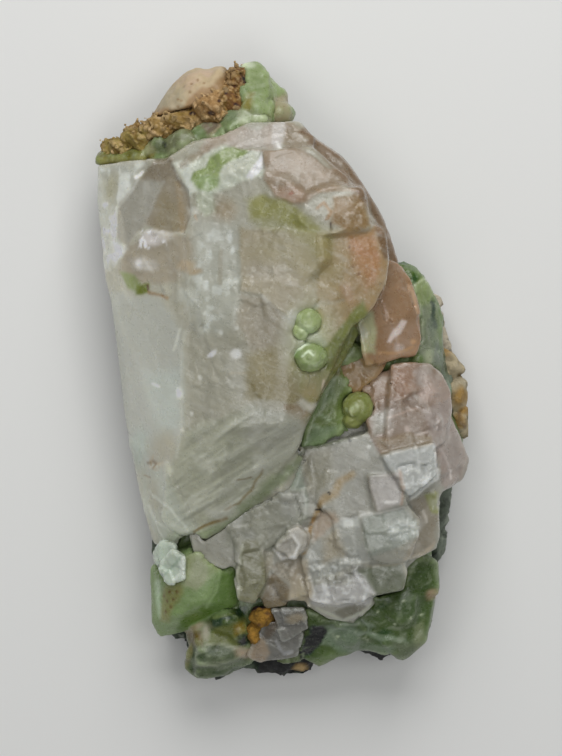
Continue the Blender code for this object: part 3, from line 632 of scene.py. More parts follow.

# Top: pale plates with a painted glossy sheen and its glint, the dome and the band that shows green through it
TOP_PLATES = """
fill 162,152,140 .95 3 @ 205,138 232,124 258,132 278,118 292,128 287,140 270,150 247,148 226,146 200,156
stroke 140,126,106 5 .6 4 @ 182,166 205,150 224,142
fill 186,182,176 .8 2 @ 272,126 284,122 286,138 279,149 272,144
stroke 224,222,216 2 @ 277,142 281,149
fill 142,130,112 .9 3 @ 286,124 298,128 322,144 304,150 284,150
fill 138,123,104 .97 2 2 @ 264,152 287,150 303,151 315,159 329,169 346,172 348,187 320,193 306,203 292,204
    275,196 264,180
fill 154,140,122 .75 6 @ 288,152 303,153 320,168 312,182 292,182 286,164
fill 146,130,112 .7 @ 264,152 287,151 285,176 266,178
dab 180,168,154 6 5 30 .5 @ 322,176
stroke 120,100,80 8 .8 4 @ 312,143 330,160 345,178 360,195
stroke 134,116,96 2 .7 @ 248,150 266,152 300,150
dab 158,132,112 12 8 15 .7 .8 @ 290,195
dab 150,100,82 2 1.6 0 .8 @ 291.5,193.5
fill 138,137,90 .95 @ 250,200 267,196 287,201 299,211 310,218 317,229 331,246 322,256 315,238 299,230 287,225
    270,219 253,219 247,210
stroke 120,122,70 5 .5 4 @ 282,212 300,222 316,228
stroke 104,96,50 1.2 .7 1 @ 288,223 298,226 312,225
fill 134,111,78 .92 3 @ 333,196 362,193 369,226 346,232 330,224
stroke 160,138,114 2 .5 @ 318,192 334,190 364,190
stroke 140,108,66 2.5 .8 @ 317,208 324,203 331,212 327,219
stroke 52,38,20 1.6 .9 .8 .5 @ 330,224 331,229
dab 112,84,42 5 4 -20 .8 @ 323,243
"""

# Centre: a pale column, the upper plate with its bright rim, and the darker, olive clear parts
CENTRE = """
fill 164,165,154 .85 8 @ 198,222 236,220 242,262 240,300 232,334 200,336 188,300
mottle 194,197,190 1.8 132 .6 8 @ 200,222 238,226 242,262 240,300 232,334 198,336 188,300
dab 202,205,200 3 4.8 0 .7 @ 229,236
dab 202,205,200 2.5 4 0 .7 @ 233,249
dab 202,205,200 3 4.8 0 .7 @ 205,286
stroke 146,142,126 4 .7 @ 220,250 219,282
dab 160,138,104 6 3 0 .6 @ 194,272
dab 176,160,134 7 5 0 .6 @ 187,266
fill 176,178,168 .7 @ 182,290 196,288 194,308 180,300
fill 155,147,126 .92 3 @ 241,228 316,232 318,300 296,321 275,311 262,295 240,290
dab 162,156,142 18 10 0 .6 @ 262,272
stroke 172,164,148 1.2 .5 1.2 4 @ 272,246 292,254 305,256 / 272,253 292,261 305,263 / 272,262 292,270 305,272 /
    272,268 292,276 305,278
dab 182,176,162 8 4 0 .6 @ 290,283
stroke 194,192,182 3 .9 2 @ 263,297 275,311 284,318 297,322
dab 192,192,184 8 5 -30 .7 @ 292,315
fill 144,137,120 .92 @ 240,294 262,298 288,324 300,350 284,362 250,350 236,330
fill 155,153,139 .9 6 @ 190,336 238,330 252,352 246,405 210,432 190,428 188,380
fill 135,127,98 .92 6 @ 247,354 280,344 300,362 302,398 272,420 246,404
dab 130,121,90 12 16 20 .5 @ 262,384
stroke 166,156,132 1.4 .5 @ 232,373 246,373
dab 206,206,206 6 3 -20 .9 .4 @ 213,353
dab 208,208,204 5 5 0 .9 .4 @ 237,354
dab 198,198,190 1.8 2.4 0 .8 @ 223,332 202,378 214,423 193,415 184,430 236,329 199,427 233,440
fill 168,168,158 .6 @ 244,404 266,400 286,402 282,424 250,430
fill 134,120,98 .8 2 @ 282,404 294,402 311,412 302,424 284,416
"""

# Right: the orange plates over the green, with a painted pink glint on the yellow-green lobe below them
ORANGE_PLATES = """
fill 151,131,100 .95 3 @ 317,232 345,229 384,228 386,262 384,288 368,322 343,322 342,302 318,300
fill 160,124,90 .9 7 @ 346,234 378,232 383,262 374,288 364,284 352,262
stroke 160,118,88 5 .4 5 @ 352,244 362,252 376,256
stroke 160,140,108 4 .5 3 @ 376,234 383,262 374,298 362,320
stroke 164,130,100 2 .4 2.5 @ 366,240 373,262 366,292
fill 146,132,102 .8 @ 320,268 343,262 343,300 318,300
dab 166,144,122 6 10 -30 .7 @ 347,294
stroke 112,92,52 1.4 .7 1.2 1 @ 316.5,236 317.5,262
dab 108,74,42 1.3 1.1 0 .85 .5 1 @ 348.5,247 358,274 352,266 318,238
fill 112,92,72 @ 386,206 398,230 404,270 392,270 386,240
fill 150,134,104 .9 3 @ 320,302 343,303 362,322 346,334 328,346 316,330
fill 158,142,118 .7 @ 324,330 340,322 336,342 328,348
fill 138,132,96 .95 2 @ 300,364 332,366 336,380 330,398 308,402 298,390
fill 148,136,106 .6 3 @ 304,366 316,366 316,396 302,396
dab 172,140,122 4 6 0 .8 @ 326,388
stroke 208,190,176 1.4 .7 @ 322,380 321,392
stroke 180,176,164 2.5 .6 @ 300,400 310,408 318,402
"""

# The striated face, the tip and the clear green edge below
STRIATED_FACE = """
fill 151,152,136 .95 5 @ 186,430 246,407 300,420 303,440 270,480 250,500 215,532 182,542 158,510 164,470 176,458
fill 152,152,140 .8 8 @ 246,412 300,414 304,438 270,458 244,440
fill 138,139,123 .6 8 @ 196,440 232,430 240,452 206,486 186,480
"""

# The tip's pale streaks, the green edge and the rusty threads on it
TIP_AND_GREEN_EDGE = """
fill 158,161,149 .9 5 @ 140,468 164,468 186,512 206,540 196,562 160,548 144,512
fill 146,142,124 .6 5 @ 146,476 160,480 166,510 152,512
stroke 186,189,178 1.6 .6 1.6 3 @ 152,492 172,508 188,530 / 158,520 176,532 196,548 / 150,505 160,530 168,546
fill 127,136,108 .85 @ 196,532 228,516 262,484 300,452 304,462 272,492 236,524 204,546
stroke 108,92,56 2 .8 1.5 3 @ 194,530 212,521 226,516
stroke 114,100,66 1.4 .7 1.5 4 @ 226,508 240,503 252,487 264,470
stroke 104,88,58 1.2 .7 1.2 @ 238,478 252,476
stroke 124,104,72 1.2 .6 1 @ 144,475 151,477
"""

# What shows through: the olive cloud, the white halo round the balls and the green below the right edge
SEEN_THROUGH = """
fill 137,136,92 .6 6 6 @ 246,202 270,199 300,210 317,220 332,232 331,258 319,262 309,246 290,236 262,228 248,216
dab 146,138,98 22 24 0 .5 .9 @ 318,262
dab 156,150,118 26 14 0 .4 .9 @ 286,250
dab 160,170,138 22 34 0 .65 .8 @ 311,340
dab 186,186,176 12 7 -35 .6 .7 @ 296,318
fill 116,96,76 .9 3 3 @ 298,134 322,147 340,164 352,184 364,206 374,232 384,258 398,266 394,240 382,212 370,186
    354,162 330,142 306,126
fill 114,120,74 .92 3 @ 322,348 344,322 362,300 372,318 356,352 338,376 322,368
fill 104,110,78 .8 3 @ 304,418 320,398 338,374 330,400 312,424 303,440
"""


def main_calcite():
    skin = Skin("main_calcite", 0.6, smoothing=1, colour=(158, 156, 142), finer=0.3, closed=0.4)
    area, line = skin.area, skin.line
    up = skin.facing_up(0.0, 0.4)
    left = area("108,290 160,296 186,330 186,420 176,462 150,470 120,440 100,330", 8)
    triangle = area(
        "119,206 145,177 159,157 172,160 178,180 190,191 192,215 186,232 170,234 154,229 135,234 126,246", 2.5, 2)
    striated = area("186,430 245,408 300,420 303,440 270,480 250,500 215,530 182,540 158,510 164,470 176,458", 8)
    dome = area("264,152 287,150 303,151 315,159 329,169 346,172 348,187 320,193 306,203 292,204 275,196 264,180",
                1.2, 2)
    upper_plate = area("240,226 316,231 318,300 296,322 275,311 262,296 238,291", 2, 2)
    orange_plate = area("317,230 384,226 388,275 366,322 343,322 343,300 318,300", 1.6, 1)
    crumbly = area("173,164 205,152 232,142 262,150 266,180 222,190 216,215 196,216 192,198 181,177", 4)
    smooth = np.clip(left + triangle + 0.8 * striated + 0.5 * dome + 0.4 * orange_plate, 0, 1)

    # Relief: broad slopes, then cleavage blocks, then plates, striations and crumbs at their places
    skin.push(0.35 + 0.6 * skin.rough(18, 11, 2) * (1 - 0.6 * smooth))
    height, shade = skin.blocks((9, 13, 9), 21, tilt=1.4, edge=0.35)
    skin.push(0.22 * height * (1 - 0.85 * smooth))
    height, small_shade = skin.blocks((2.8, 4.2, 4), 22, tilt=1.6, edge=0.3)
    calm = area("236,226 392,226 392,330 310,430 236,430", 8)
    broken = smoothstep(0.0, 0.5, skin.rough(8, 24)) * (1 - smooth) * (1 - 0.85 * calm)
    skin.push(0.14 * height * broken)
    skin.push((-0.5 * triangle + 0.2 * dome + 0.14 * upper_plate + 0.14 * orange_plate) * up)
    edge_strip = area("343,240 352,231 378,234 384,262 374,298 360,322 352,320 345,290", 1.2, 1)
    pink_plate = area("333,197 345,192 366,194 369,228 348,231 333,226", 1.5, 1)
    tip_plate = area("150,466 168,462 190,512 206,545 196,560 160,546", 1.5, 2)
    skin.push((0.08 * edge_strip + 0.12 * pink_plate + 0.3 * tip_plate) * up)
    hollow_by_left = area("187,330 192,326 214,352 206,420 188,432", 4, 2)
    skin.push(-0.25 * hollow_by_left * up)
    across_streaks, along_streaks = (0.53, -0.85, 0.1), (0.85, 0.53, 0)
    stretched = [skin.start @ across_streaks, skin.start @ along_streaks * 0.1, skin.start[:, 2] * 0.3]
    streaks = rough(np.stack(stretched, axis=1), 1.5, 26)
    skin.push(0.26 * streaks * striated)
    crumbs = np.clip(crumbly + skin.spot((153, 238), 11, 9) + skin.spot((148, 265), 12, 7), 0, 1)
    skin.push((0.4 * skin.rough(1.5, 28, 3) + 0.08) * crumbs * up)
    green_edge = line("196,538 262,490 304,455 304,436", 9, 5, 2)
    skin.push(0.12 * green_edge)
    skin.push(0.4 * line(*SEAM))
    skin.push(0.09 * skin.rough(1.4, 27, 3) * (1 - 0.7 * left))
    skin.find_normals()

    skin.marks(LEFT_SIDE, CRUMBLY_PATCH, TOP_PLATES, CENTRE, ORANGE_PLATES, STRIATED_FACE)
    skin.tint((170, 171, 158), 0.6 * striated * smoothstep(0.05, 0.45, streaks))
    skin.tint((124, 123, 106), 0.3 * striated * smoothstep(0.0, 0.4, -streaks))
    skin.marks(TIP_AND_GREEN_EDGE, SEEN_THROUGH)
    wisps = smoothstep(0.2, 0.6, rough(skin.start * (1, 0.55, 1), 5, 136, 4))
    skin.tint((188, 188, 180), wisps * (1 - left) * 0.28)
    haze = skin.rough(9, 134)
    fibres = rough(skin.start @ CLEAVAGE.T * (1.0, 0.22, 1.0), 1.6, 135, 3)
    skin.lighten((0.1 * haze + 0.06 * fibres * (1 - 0.7 * left)))
    skin.tint((118, 122, 100), 0.5 * skin.below(17, 11))
    skin.lighten(0.05 * (shade + 0.6 * small_shade * (1 - smooth)) * (1 - 0.6 * smooth))
    # Painted highlight along the crests
    skin.crests((200, 200, 191), 0.012, 0.06, 0.1, passes=2)
    # West-facing slopes are painted lighter, making up fully for the light they miss
    west = smoothstep(0.0, 0.3, -skin.normals[:, 0])[:, None]
    skin.show(CALCITE, sharp=50, glare=0.045, gain=1.04, evened=0.4 + 0.6 * west)


# Its shades, the bright fleck, which is a painted highlight streak, painted highlights on its right edge, a
# painted orange glint, the green at its left and the low step
PINK_BLADE = """
fill 136,114,93 .7 8 @ 372,270 398,268 408,300 400,326 376,330
fill 144,124,107 .7 6 @ 388,326 416,322 416,350 386,360
fill 188,178,172 .85 1.5 1.5 @ 387,342 395,328 400,320 405,322 399,334 390,343
dab 168,158,150 5 4 0 .7 @ 398,348
stroke 166,142,118 2 .7 @ 408,286 412,294 416,312
dab 172,140,106 3 2 0 .7 @ 413,341
stroke 160,132,100 2 .6 @ 378,352 398,352 412,346
fill 132,114,88 .9 3 @ 345,364 368,356 382,366 370,384 352,390 344,380
fill 116,96,70 .7 3 @ 352,376 366,372 362,392 350,392
fill 148,149,120 .92 3 @ 350,312 360,304 374,312 377,330 374,352 358,356 350,336
dab 152,152,142 5 9 -20 .6 @ 362,334
"""


def pink_calcite():
    skin = Skin("pink_calcite", 0.3, smoothing=1, colour=(130, 108, 87), closed=0.3)
    height, shade = skin.blocks((4.5, 7, 5), 31, tilt=1.2, edge=0.15)
    skin.push(0.2 + 0.3 * height + 0.1 * skin.rough(3, 32))
    skin.find_normals()
    skin.lighten(0.06 * shade)
    skin.marks(PINK_BLADE)
    # Painted highlight along the crests
    skin.crests((176, 158, 140), 0.012, 0.06, 0.15, passes=2)
    skin.show(PINK, sharp=45, glare=0.05, gain=1.3)


# The pink end and the right flank, with a painted glint on one facet and a painted glint line below it
PINK_END = """
fill 129,113,100 .95 2.5 @ 358,392 365,378 378,373 392,371 394,364 428,364 444,379 450,396 456,421 460,437
    433,435 409,440 379,455 369,434
fill 145,119,100 .85 5 @ 392,366 416,364 416,394 394,400
fill 138,118,100 .8 5 @ 363,380 390,374 392,396 372,406 360,394
stroke 160,130,108 1.6 .5 @ 360,390 364,379 378,373 392,371 394,364 420,363
fill 160,146,136 .8 6 @ 418,370 440,380 450,400 440,410 424,400
fill 176,160,150 .7 2.5 2 @ 418,392 430,385 434,394 426,404 418,402
fill 140,128,117 .8 6 @ 378,412 420,402 430,432 390,438 372,430
stroke 170,152,140 1.5 .6 @ 388,418 402,414 418,408
stroke 208,196,188 1.8 .53 1 @ 410,436 418,434 427,432
dab 184,170,160 3 4 0 .7 @ 406,431
fill 139,125,106 .9 2 @ 374,438 410,434 434,436 434,445 384,456
fill 148,148,138 .7 @ 372,416 384,410 386,432 374,436
fill 151,141,134 .9 3 @ 425,411 448,398 458,424 464,440 470,448 468,468 462,482 446,490 440,484 434,446
stroke 180,170,164 1.5 .43 @ 437,444 443,456 449,472
stroke 214,206,200 1.4 .5 @ 449,470 450,478
fill 140,128,120 .7 2 @ 434,446 440,452 446,474 438,478
"""

# The large plates, with a painted white glint on one of them
LARGE_PLATES = """
fill 160,162,158 .95 1.8 1 @ 382,457 434,444 438,478 428,486 409,499 402,485 396,472 386,469
stroke 178,176,168 1.3 .5 1 .5 @ 382,457 410,449 434,444
stroke 212,212,208 1.8 .53 1 1 @ 434,446 437,478 426,487 410,499
stroke 208,206,200 1.6 .5 1 .5 @ 381,460 386,476
fill 148,147,138 .95 2 @ 293,453 350,440 367,434 373,444 382,458 388,476 399,474 402,504 374,514 340,518 330,512
    314,500 303,481
fill 138,135,120 .8 5 @ 296,456 330,448 336,480 314,498 303,481
fill 158,158,150 .6 @ 352,442 368,436 376,456 356,466
stroke 92,96,80 1.4 .7 1 .5 @ 295,454 322,447 350,440.5
stroke 186,186,178 1.4 .43 1 .5 @ 350,440 367,434
dab 214,214,208 2.4 1.6 @ 368,447
fill 157,153,148 .85 1.5 1 @ 369,477 400,472 402,504 377,511 369,488
stroke 122,118,108 1.3 .7 1 .5 @ 369,478 370,488 377,511
stroke 220,218,214 2.2 .53 @ 385,502 396,501
stroke 168,142,122 2 .5 @ 399,470 403,488 401,504
stroke 206,206,202 1.4 .5 1 1 @ 341,519 362,516 404,507
"""

# The rusty seam with its black grains
RUSTY_SEAM = """
stroke 148,124,78 5 .6 4 5 @ 352,475 341,481 337,493 324,502
stroke 134,112,74 4 .8 2.5 3 @ 322,503 316,512 310,528 306,542 304,552
stroke 146,112,60 2 .6 1.5 1.5 @ 313,518 309,532
stroke 26,22,16 2 .95 .8 .3 @ 349.5,440.5 350.5,441.5
stroke 26,22,16 1.8 .95 .8 .3 @ 329,492.5 330,493.5
stroke 26,22,16 1.4 .95 .8 .3 @ 315.5,509 320.6,507.4 326.5,512.6
stroke 92,88,72 1.4 .8 1 .5 @ 297.6,525 305,527 311,524.5
fill 160,146,130 .8 @ 318,512 334,512 342,522 334,534 314,540 312,530
"""

# Lower plates, with a painted sparkle of glints on one of them
LOWER_PLATES = """
fill 155,156,149 .9 3 @ 341,519 359,517 366,544 372,558 352,566 334,576 312,578 306,556 322,536
fill 158,148,126 .7 6 @ 326,536 338,530 344,556 324,564
fill 196,198,192 .8 2 @ 344,519 359,517 361,526 345,528
fill 142,146,137 .92 2 1 @ 363,517 405,508 412,518 416,526 418,535 402,546 369,556 365,544
fill 178,182,175 .75 3 @ 390,524 402,518 416,520 417,534 400,544 388,540
stroke 218,220,214 2.4 .43 @ 408,527 416,528 417,536
stroke 112,114,104 1.5 .75 1 .6 @ 362,518 367,544 372,558
fill 143,136,122 .9 3 @ 408,500 436,492 438,520 436,540 430,552 404,556 418,536 416,518
fill 136,140,92 .85 2 @ 424,495 437,493 438,512 430,512
stroke 208,204,196 2.5 .43 @ 423,512 426,522
stroke 176,166,150 2.5 .37 @ 404,558 424,553 434,542
fill 113,117,102 .95 1.6 1 @ 355,569 403,563 407,579 403,593 376,597 368,584
stroke 150,147,130 2.2 .8 1 1 @ 368,566 403,562.5 407,579 403,592 377,597
fill 112,112,104 .8 1.2 .5 @ 350,566 363,564 366,568 354,571
fill 122,121,113 .8 1.2 .5 @ 333,577 352,573 355,579 336,583
stroke 108,107,100 2 .7 1 .5 @ 352,566 355,578
fill 163,162,158 .95 2.5 @ 311,585 334,583 352,583 356,570 366,578 376,593 368,604 344,609 331,605 316,606
    309,600
stroke 216,216,212 2 .5 @ 356,572 364,586 374,594
dab 174,173,170 12 7 -10 .5 @ 330,594
fill 120,118,106 .85 2 @ 334,612 357,603 366,604 352,616 342,620
stroke 170,172,158 2.2 .7 @ 318,608 332,614 342,621 356,614 370,604
"""

# The grey crystals on the left
GREY_CRYSTALS = """
fill 138,145,132 .9 2.5 @ 288,450 298,456 304,482 308,500 306,519 298,525 286,520
fill 139,139,127 .92 3 @ 228,506 257,492 303,488 306,517 296,527 278,548 268,564 250,560 224,545
fill 152,152,144 .7 5 @ 280,494 302,490 304,514 290,520
stroke 186,186,178 1.6 .43 1.2 1 @ 303,490 306,504 304,518
fill 150,150,136 .6 @ 254,518 266,520 272,548 264,566 256,552
fill 158,155,146 .95 2 1 @ 275,550 284,538 294,527 303,526 309,535 306,550 293,557 282,560
stroke 216,215,210 2.2 .56 1.5 1 @ 275,549 282,559 294,555 299,544 293,535
stroke 178,174,164 1.6 .43 @ 290,530 303,527 308,536 305,548
fill 120,119,98 .95 1.8 1 @ 242,542 258,539 264,562 267,575 265,586 259,603 238,602 239,586 236,576 240,558
stroke 174,176,158 1.5 .5 1 .6 @ 242,545 240.8,559 236.5,576 239.5,587 238.5,600 252,603
fill 158,152,134 .7 2 @ 264,548 274,552 272,566 266,576
fill 113,103,85 .95 1.8 1 @ 268,576 275,572 291,588 287,610 259,606
fill 140,133,118 .85 3 @ 269,566 284,560 304,556 306,568 296,584 288,584 276,572
stroke 176,170,156 1.2 .6 1 1 @ 278,566 284,572 292,584 / 283,564 290,572 296,580 / 280,574 286,566 292,570
fill 158,149,131 .85 3 @ 292,566 308,560 312,586 310,608 294,612 288,604
dab 146,138,116 5 8 0 .7 @ 302,596
stroke 200,196,184 2 .37 @ 292,606 300,611 310,606
stroke 206,204,196 1.6 .37 @ 310,574 313,590
"""


def stepped_calcite():
    skin = Skin("stepped_calcite", 0.34, colour=(147, 146, 136), closed=0.45)
    area, line = skin.area, skin.line
    up = skin.facing_up(0.1, 0.5)
    sparkling = np.clip(area("398,468 437,462 436,480 410,498 402,486", 3)
                        + area("390,522 412,516 418,534 402,545 388,540", 3)
                        + 0.7 * area("311,560 360,560 372,600 330,606 312,600", 4), 0, 1)
    plates = np.clip(area("296,455 366,436 384,458 402,505 342,517 316,500", 3)
                     + area("356,569 404,563 406,580 402,592 376,596", 2), 0, 1)
    skin.push(0.25 + 0.2 * skin.rough(8, 41, 3))
    height, shade = skin.blocks((5, 6, 5), 42, tilt=0.8, edge=0.06)
    skin.push(0.24 * height * (1 - 0.8 * plates))
    height, small_shade = skin.blocks((2, 2.6, 2.4), 43, tilt=1.0, edge=0.1)
    skin.push(0.15 * height * np.clip(smoothstep(-0.1, 0.3, skin.rough(6, 44)) + sparkling - plates, 0, 1))
    sparks = ridges(skin.start, 1.4, 46)
    skin.push(0.22 * sparkling * sparks * up)
    lens_rim = line("275,550 282,559 294,555 299,544 292,535 280,542 275,550", 3, 2, 1)
    skin.push(0.3 * lens_rim)
    skin.push(0.06 * skin.rough(1.0, 45, 3))
    skin.push(0.45 * line(*SEAM))
    skin.find_normals()

    skin.marks(PINK_END, LARGE_PLATES, RUSTY_SEAM, LOWER_PLATES, GREY_CRYSTALS)
    skin.tint((104, 110, 88), 0.5 * skin.below(23.5, 19.5))
    skin.lighten(0.05 * (shade + 0.7 * small_shade))
    # Painted glints: near-white on the up-facing crests of the sparkling patches
    skin.tint((206, 208, 204), 0.6 * sparkling * up * smoothstep(0.55, 0.8, sparks))
    wisps = smoothstep(0.15, 0.6, rough(skin.start * (1, 0.7, 1), 3, 47, 4))
    skin.tint((200, 200, 196), wisps * 0.3)
    skin.lighten(0.12 * skin.rough(5, 48))
    # Painted highlight along the crests, and painted shade in the creases
    skin.crests((212, 212, 206), 0.02, 0.09, 0.1)
    skin.cracks(0.8, 0.02, 0.09, 0.3)
    skin.show(CALCITE, sharp=40, glare=0.05, gain=1.08)


# The grey crystal's brown end and pale edge, and the edges of the two little ones
GREY_CRYSTAL = """
fill 150,136,118 .9 3 @ 240,644 262,636 270,650 262,662 240,656
dab 100,90,78 5 10 20 .7 @ 270,628
stroke 150,150,150 2 .7 @ 276,640 284,652 292,650
dab 150,140,120 10 5 0 .7 @ 296,618
"""


LITTLE_CRYSTALS = """
stroke 200,206,196 2 .7 @ 182,553 183,572 176,578
stroke 140,156,138 1.5 .6 @ 166,574 174,566 182,556
"""


def small_crystals():
    for node, colour, seed, marks in (("grey_calcite", (112, 111, 106), 51, GREY_CRYSTAL),
                                      ("small_calcite", (172, 182, 168), 52, LITTLE_CRYSTALS)):
        skin = Skin(node, 0.25, colour=colour)
        height, shade = skin.blocks((2.6, 3.4, 3), seed, tilt=1.0, edge=0.1)
        skin.push(0.4 + 0.25 * height + 0.08 * skin.rough(1.6, seed))
        skin.find_normals()
        skin.marks(marks)
        skin.lighten(0.08 * shade)
        # Painted highlight along the crests
        skin.crests((208, 212, 204), 0.012, 0.06, 0.15)
        skin.show(CALCITE, sharp=40, glare=0.05, gain=1.07)


# The big green lump at the lower left
GREEN_LUMP = """
fill 118,135,95 .95 @ 140,560 186,545 245,540 242,606 204,618 186,632 160,645 140,620
fill 112,128,90 .8 @ 140,570 158,575 164,640 150,640 140,600
stroke 152,168,142 3.5 .8 2.5 @ 159,582 160,600 163,614
fill 93,113,69 .92 3 @ 220,568 237,560 241,602 231,607 203,616 201,610 218,584
fill 86,108,57 .92 2.5 @ 184,614 203,604 214,612 188,624 174,632 178,621
fill 124,124,84 .9 2.5 @ 167,582 184,580 184,588 170,618 163,618 164,599
fill 140,142,116 .8 3 @ 184,556 206,548 208,578 196,590 184,584
fill 118,128,88 .8 3 @ 208,545 226,545 220,570 206,578
stroke 136,154,112 1.4 .6 @ 219,572 215,590 206,606
dab 92,62,34 1.3 1.3 0 .75 .5 2 @ 171,592 175,598 169,600 173,606 168,611 178,590 166,595
"""

# The dark notch and the fibrous rock below it
DARK_NOTCH = """
fill 55,68,34 .95 2.5 @ 206,620 232,612 240,604 250,606 246,616 214,630
stroke 112,122,84 1.4 .6 @ 214,618 234,614
fill 104,108,68 .95 2.5 @ 206,642 214,628 244,618 250,624 248,632 240,646
fill 128,106,58 .7 3 @ 232,624 245,620 246,630 236,634
fill 38,46,36 .9 2.5 @ 238,634 250,630 252,645 240,646
fill 96,82,48 .95 2.5 @ 184,628 203,630 202,646 186,648
dab 134,120,96 8 4 -20 .8 @ 196,626
dab 150,144,128 4 8 10 .8 @ 207,631
fill 86,93,76 .92 @ 183,646 210,642 240,646 256,652 240,668 206,680 186,674
"""

# Its pale upper edge, and what lies beside it
FIBROUS_ROCK = """
stroke 150,152,130 1.6 .7 1.5 3 @ 206,642 222,644 240,648
fill 118,112,80 .8 3 @ 184,640 192,642 190,668 184,664
dab 158,142,124 12 5 15 .8 @ 248,652
"""

# Lower right: deep green glass with frosty seams
DEEP_GREEN = """
fill 74,87,58 .95 @ 300,604 372,604 404,562 430,560 434,612 412,658 340,650 300,660
fill 72,86,54 .8 5 @ 396,575 428,562 430,590 402,598
dab 58,76,40 10 7 -20 .8 @ 384,634
dab 66,82,38 8 7 -30 .8 @ 382,602
dab 86,100,76 14 12 0 .5 @ 412,606
fill 106,118,100 .9 3 @ 325,626 345,620 361,630 360,646 336,650 325,644
fill 26,38,24 .95 2.5 @ 305,621 324,626 332,631 321,643 310,652 299,656 296,636
fill 24,36,26 .9 2.5 @ 294,626 304,622 302,652 294,656
stroke 124,136,118 3.5 .65 2 4 @ 331,615 351,621 372,625
stroke 124,136,118 2.5 .65 2 4 @ 333,617 346,626 357,633
stroke 124,136,118 1.8 .65 2 4 @ 330,632 342,624 352,619
stroke 124,136,118 1.5 .65 2 4 @ 322,643 334,628
stroke 124,136,118 3.5 .65 2 4 @ 358,632 372,634 392,637 405,638
stroke 124,136,118 4 .65 2 4 @ 364,622 368,632
fill 106,116,100 .8 3 @ 341,642 360,640 396,645 392,652 352,650
fill 96,102,86 .85 @ 390,640 410,640 424,628 424,654 400,660
fill 116,122,96 .7 3 @ 414,624 424,618 424,652 414,654
dab 152,132,110 5 5 -30 @ 431,595
dab 170,178,150 1.5 1.2 0 .8 .5 1 @ 378,611 410,617 421,614 404,600 338,636 396,622
"""

# The valley between the crystals, and the rosette
VALLEY = """
fill 102,114,74 .95 3 @ 300,440 318,412 334,396 332,372 352,350 372,360 356,392 348,420 320,440 300,460
fill 90,98,52 .9 3 @ 322,364 338,338 352,330 358,350 342,372 328,376
fill 104,118,92 .85 @ 296,446 312,428 338,424 330,440 300,456
stroke 150,166,138 1.6 .7 @ 320,414 328,420
stroke 140,156,128 1.4 .6 @ 312,424 322,430
dab 104,92,44 8 4 0 .7 @ 334,372
fill 104,114,82 .85 3 @ 340,356 364,350 364,366 344,370
fill 131,133,104 .92 2.5 @ 352,318 362,308 374,318 374,348 360,352 352,336
dab 156,156,146 6 9 -20 .7 @ 361,336
fill 110,104,70 .6 3 @ 336,300 372,296 366,314 350,318
"""

# The green bar and the band along the right edge, with a painted highlight arc on top of its pale lobe
RIGHT_BAND = """
fill 76,96,46 .95 2 @ 376,361 414,352 426,362 394,366 392,374 376,376
fill 64,86,38 .95 2.5 @ 394,262 404,264 424,286 414,292 402,280
fill 130,142,100 .95 2.5 @ 411,290 418,280 426,282 432,296 428,306 416,306
stroke 168,176,146 1.6 .7 @ 414,286 421,281 428,288
fill 114,120,101 .92 @ 418,306 432,304 436,330 440,356 430,366 416,352
dab 150,155,130 5 6 0 .8 @ 428,359
stroke 58,68,62 2.6 .85 1.5 1 @ 431,303 430,318 434,328
fill 98,106,96 .7 3 @ 428,316 434,326 432,340 426,330
fill 98,106,93 .9 3 @ 434,340 444,352 452,384 446,392 438,376 432,360
stroke 44,48,42 2.2 .85 1.5 1 @ 446,368 450,380 454,390
fill 124,140,126 .8 3 @ 446,386 456,390 458,402 450,406
dab 214,214,208 2 5 -10 @ 451,404
dab 176,162,158 4 6 0 .8 @ 455,406
"""

# The top edge, with a painted highlight on top of a green lump and painted glints on a whitish green patch
TOP_EDGE = """
fill 98,95,46 .92 3 @ 96,150 130,146 156,150 154,166 110,170 94,168
stroke 122,104,40 4 .6 3 @ 104,160 128,162 152,157
fill 92,98,74 .9 3 @ 144,136 168,132 170,156 146,156
fill 142,142,108 .85 2.5 @ 142,146 154,144 156,154 144,156
dab 44,44,20 2 4 -30 @ 166,147
fill 108,110,86 .92 3 @ 168,136 186,130 198,142 198,152 184,158 168,154
dab 166,172,148 7 4 -20 .6 @ 186,148
fill 119,109,97 .95 2 @ 200,122 216,118 222,130 208,138
stroke 154,142,120 1.8 .7 @ 216,118 222,129 212,136
fill 110,121,96 .9 3 @ 220,110 242,106 244,122 224,124
fill 150,156,130 .85 3 @ 238,112 264,110 268,126 246,132 238,124
dab 208,214,196 2.6 2 0 .7 .6 3 @ 246,122 256,116 252,127 262,122
fill 127,140,98 .92 3 @ 240,66 258,58 290,92 290,112 264,118 248,100
fill 180,188,164 .85 2 @ 241,66 252,62 254,68 244,72
stroke 110,122,80 1.6 .6 @ 268,80 270,110
fill 140,129,107 .85 3 @ 270,98 286,94 290,120 274,122
fill 124,114,60 .85 3 @ 246,96 254,94 254,110 244,112
fill 28,28,25 .95 2.5 @ 254,653 302,651 306,674 256,680
"""


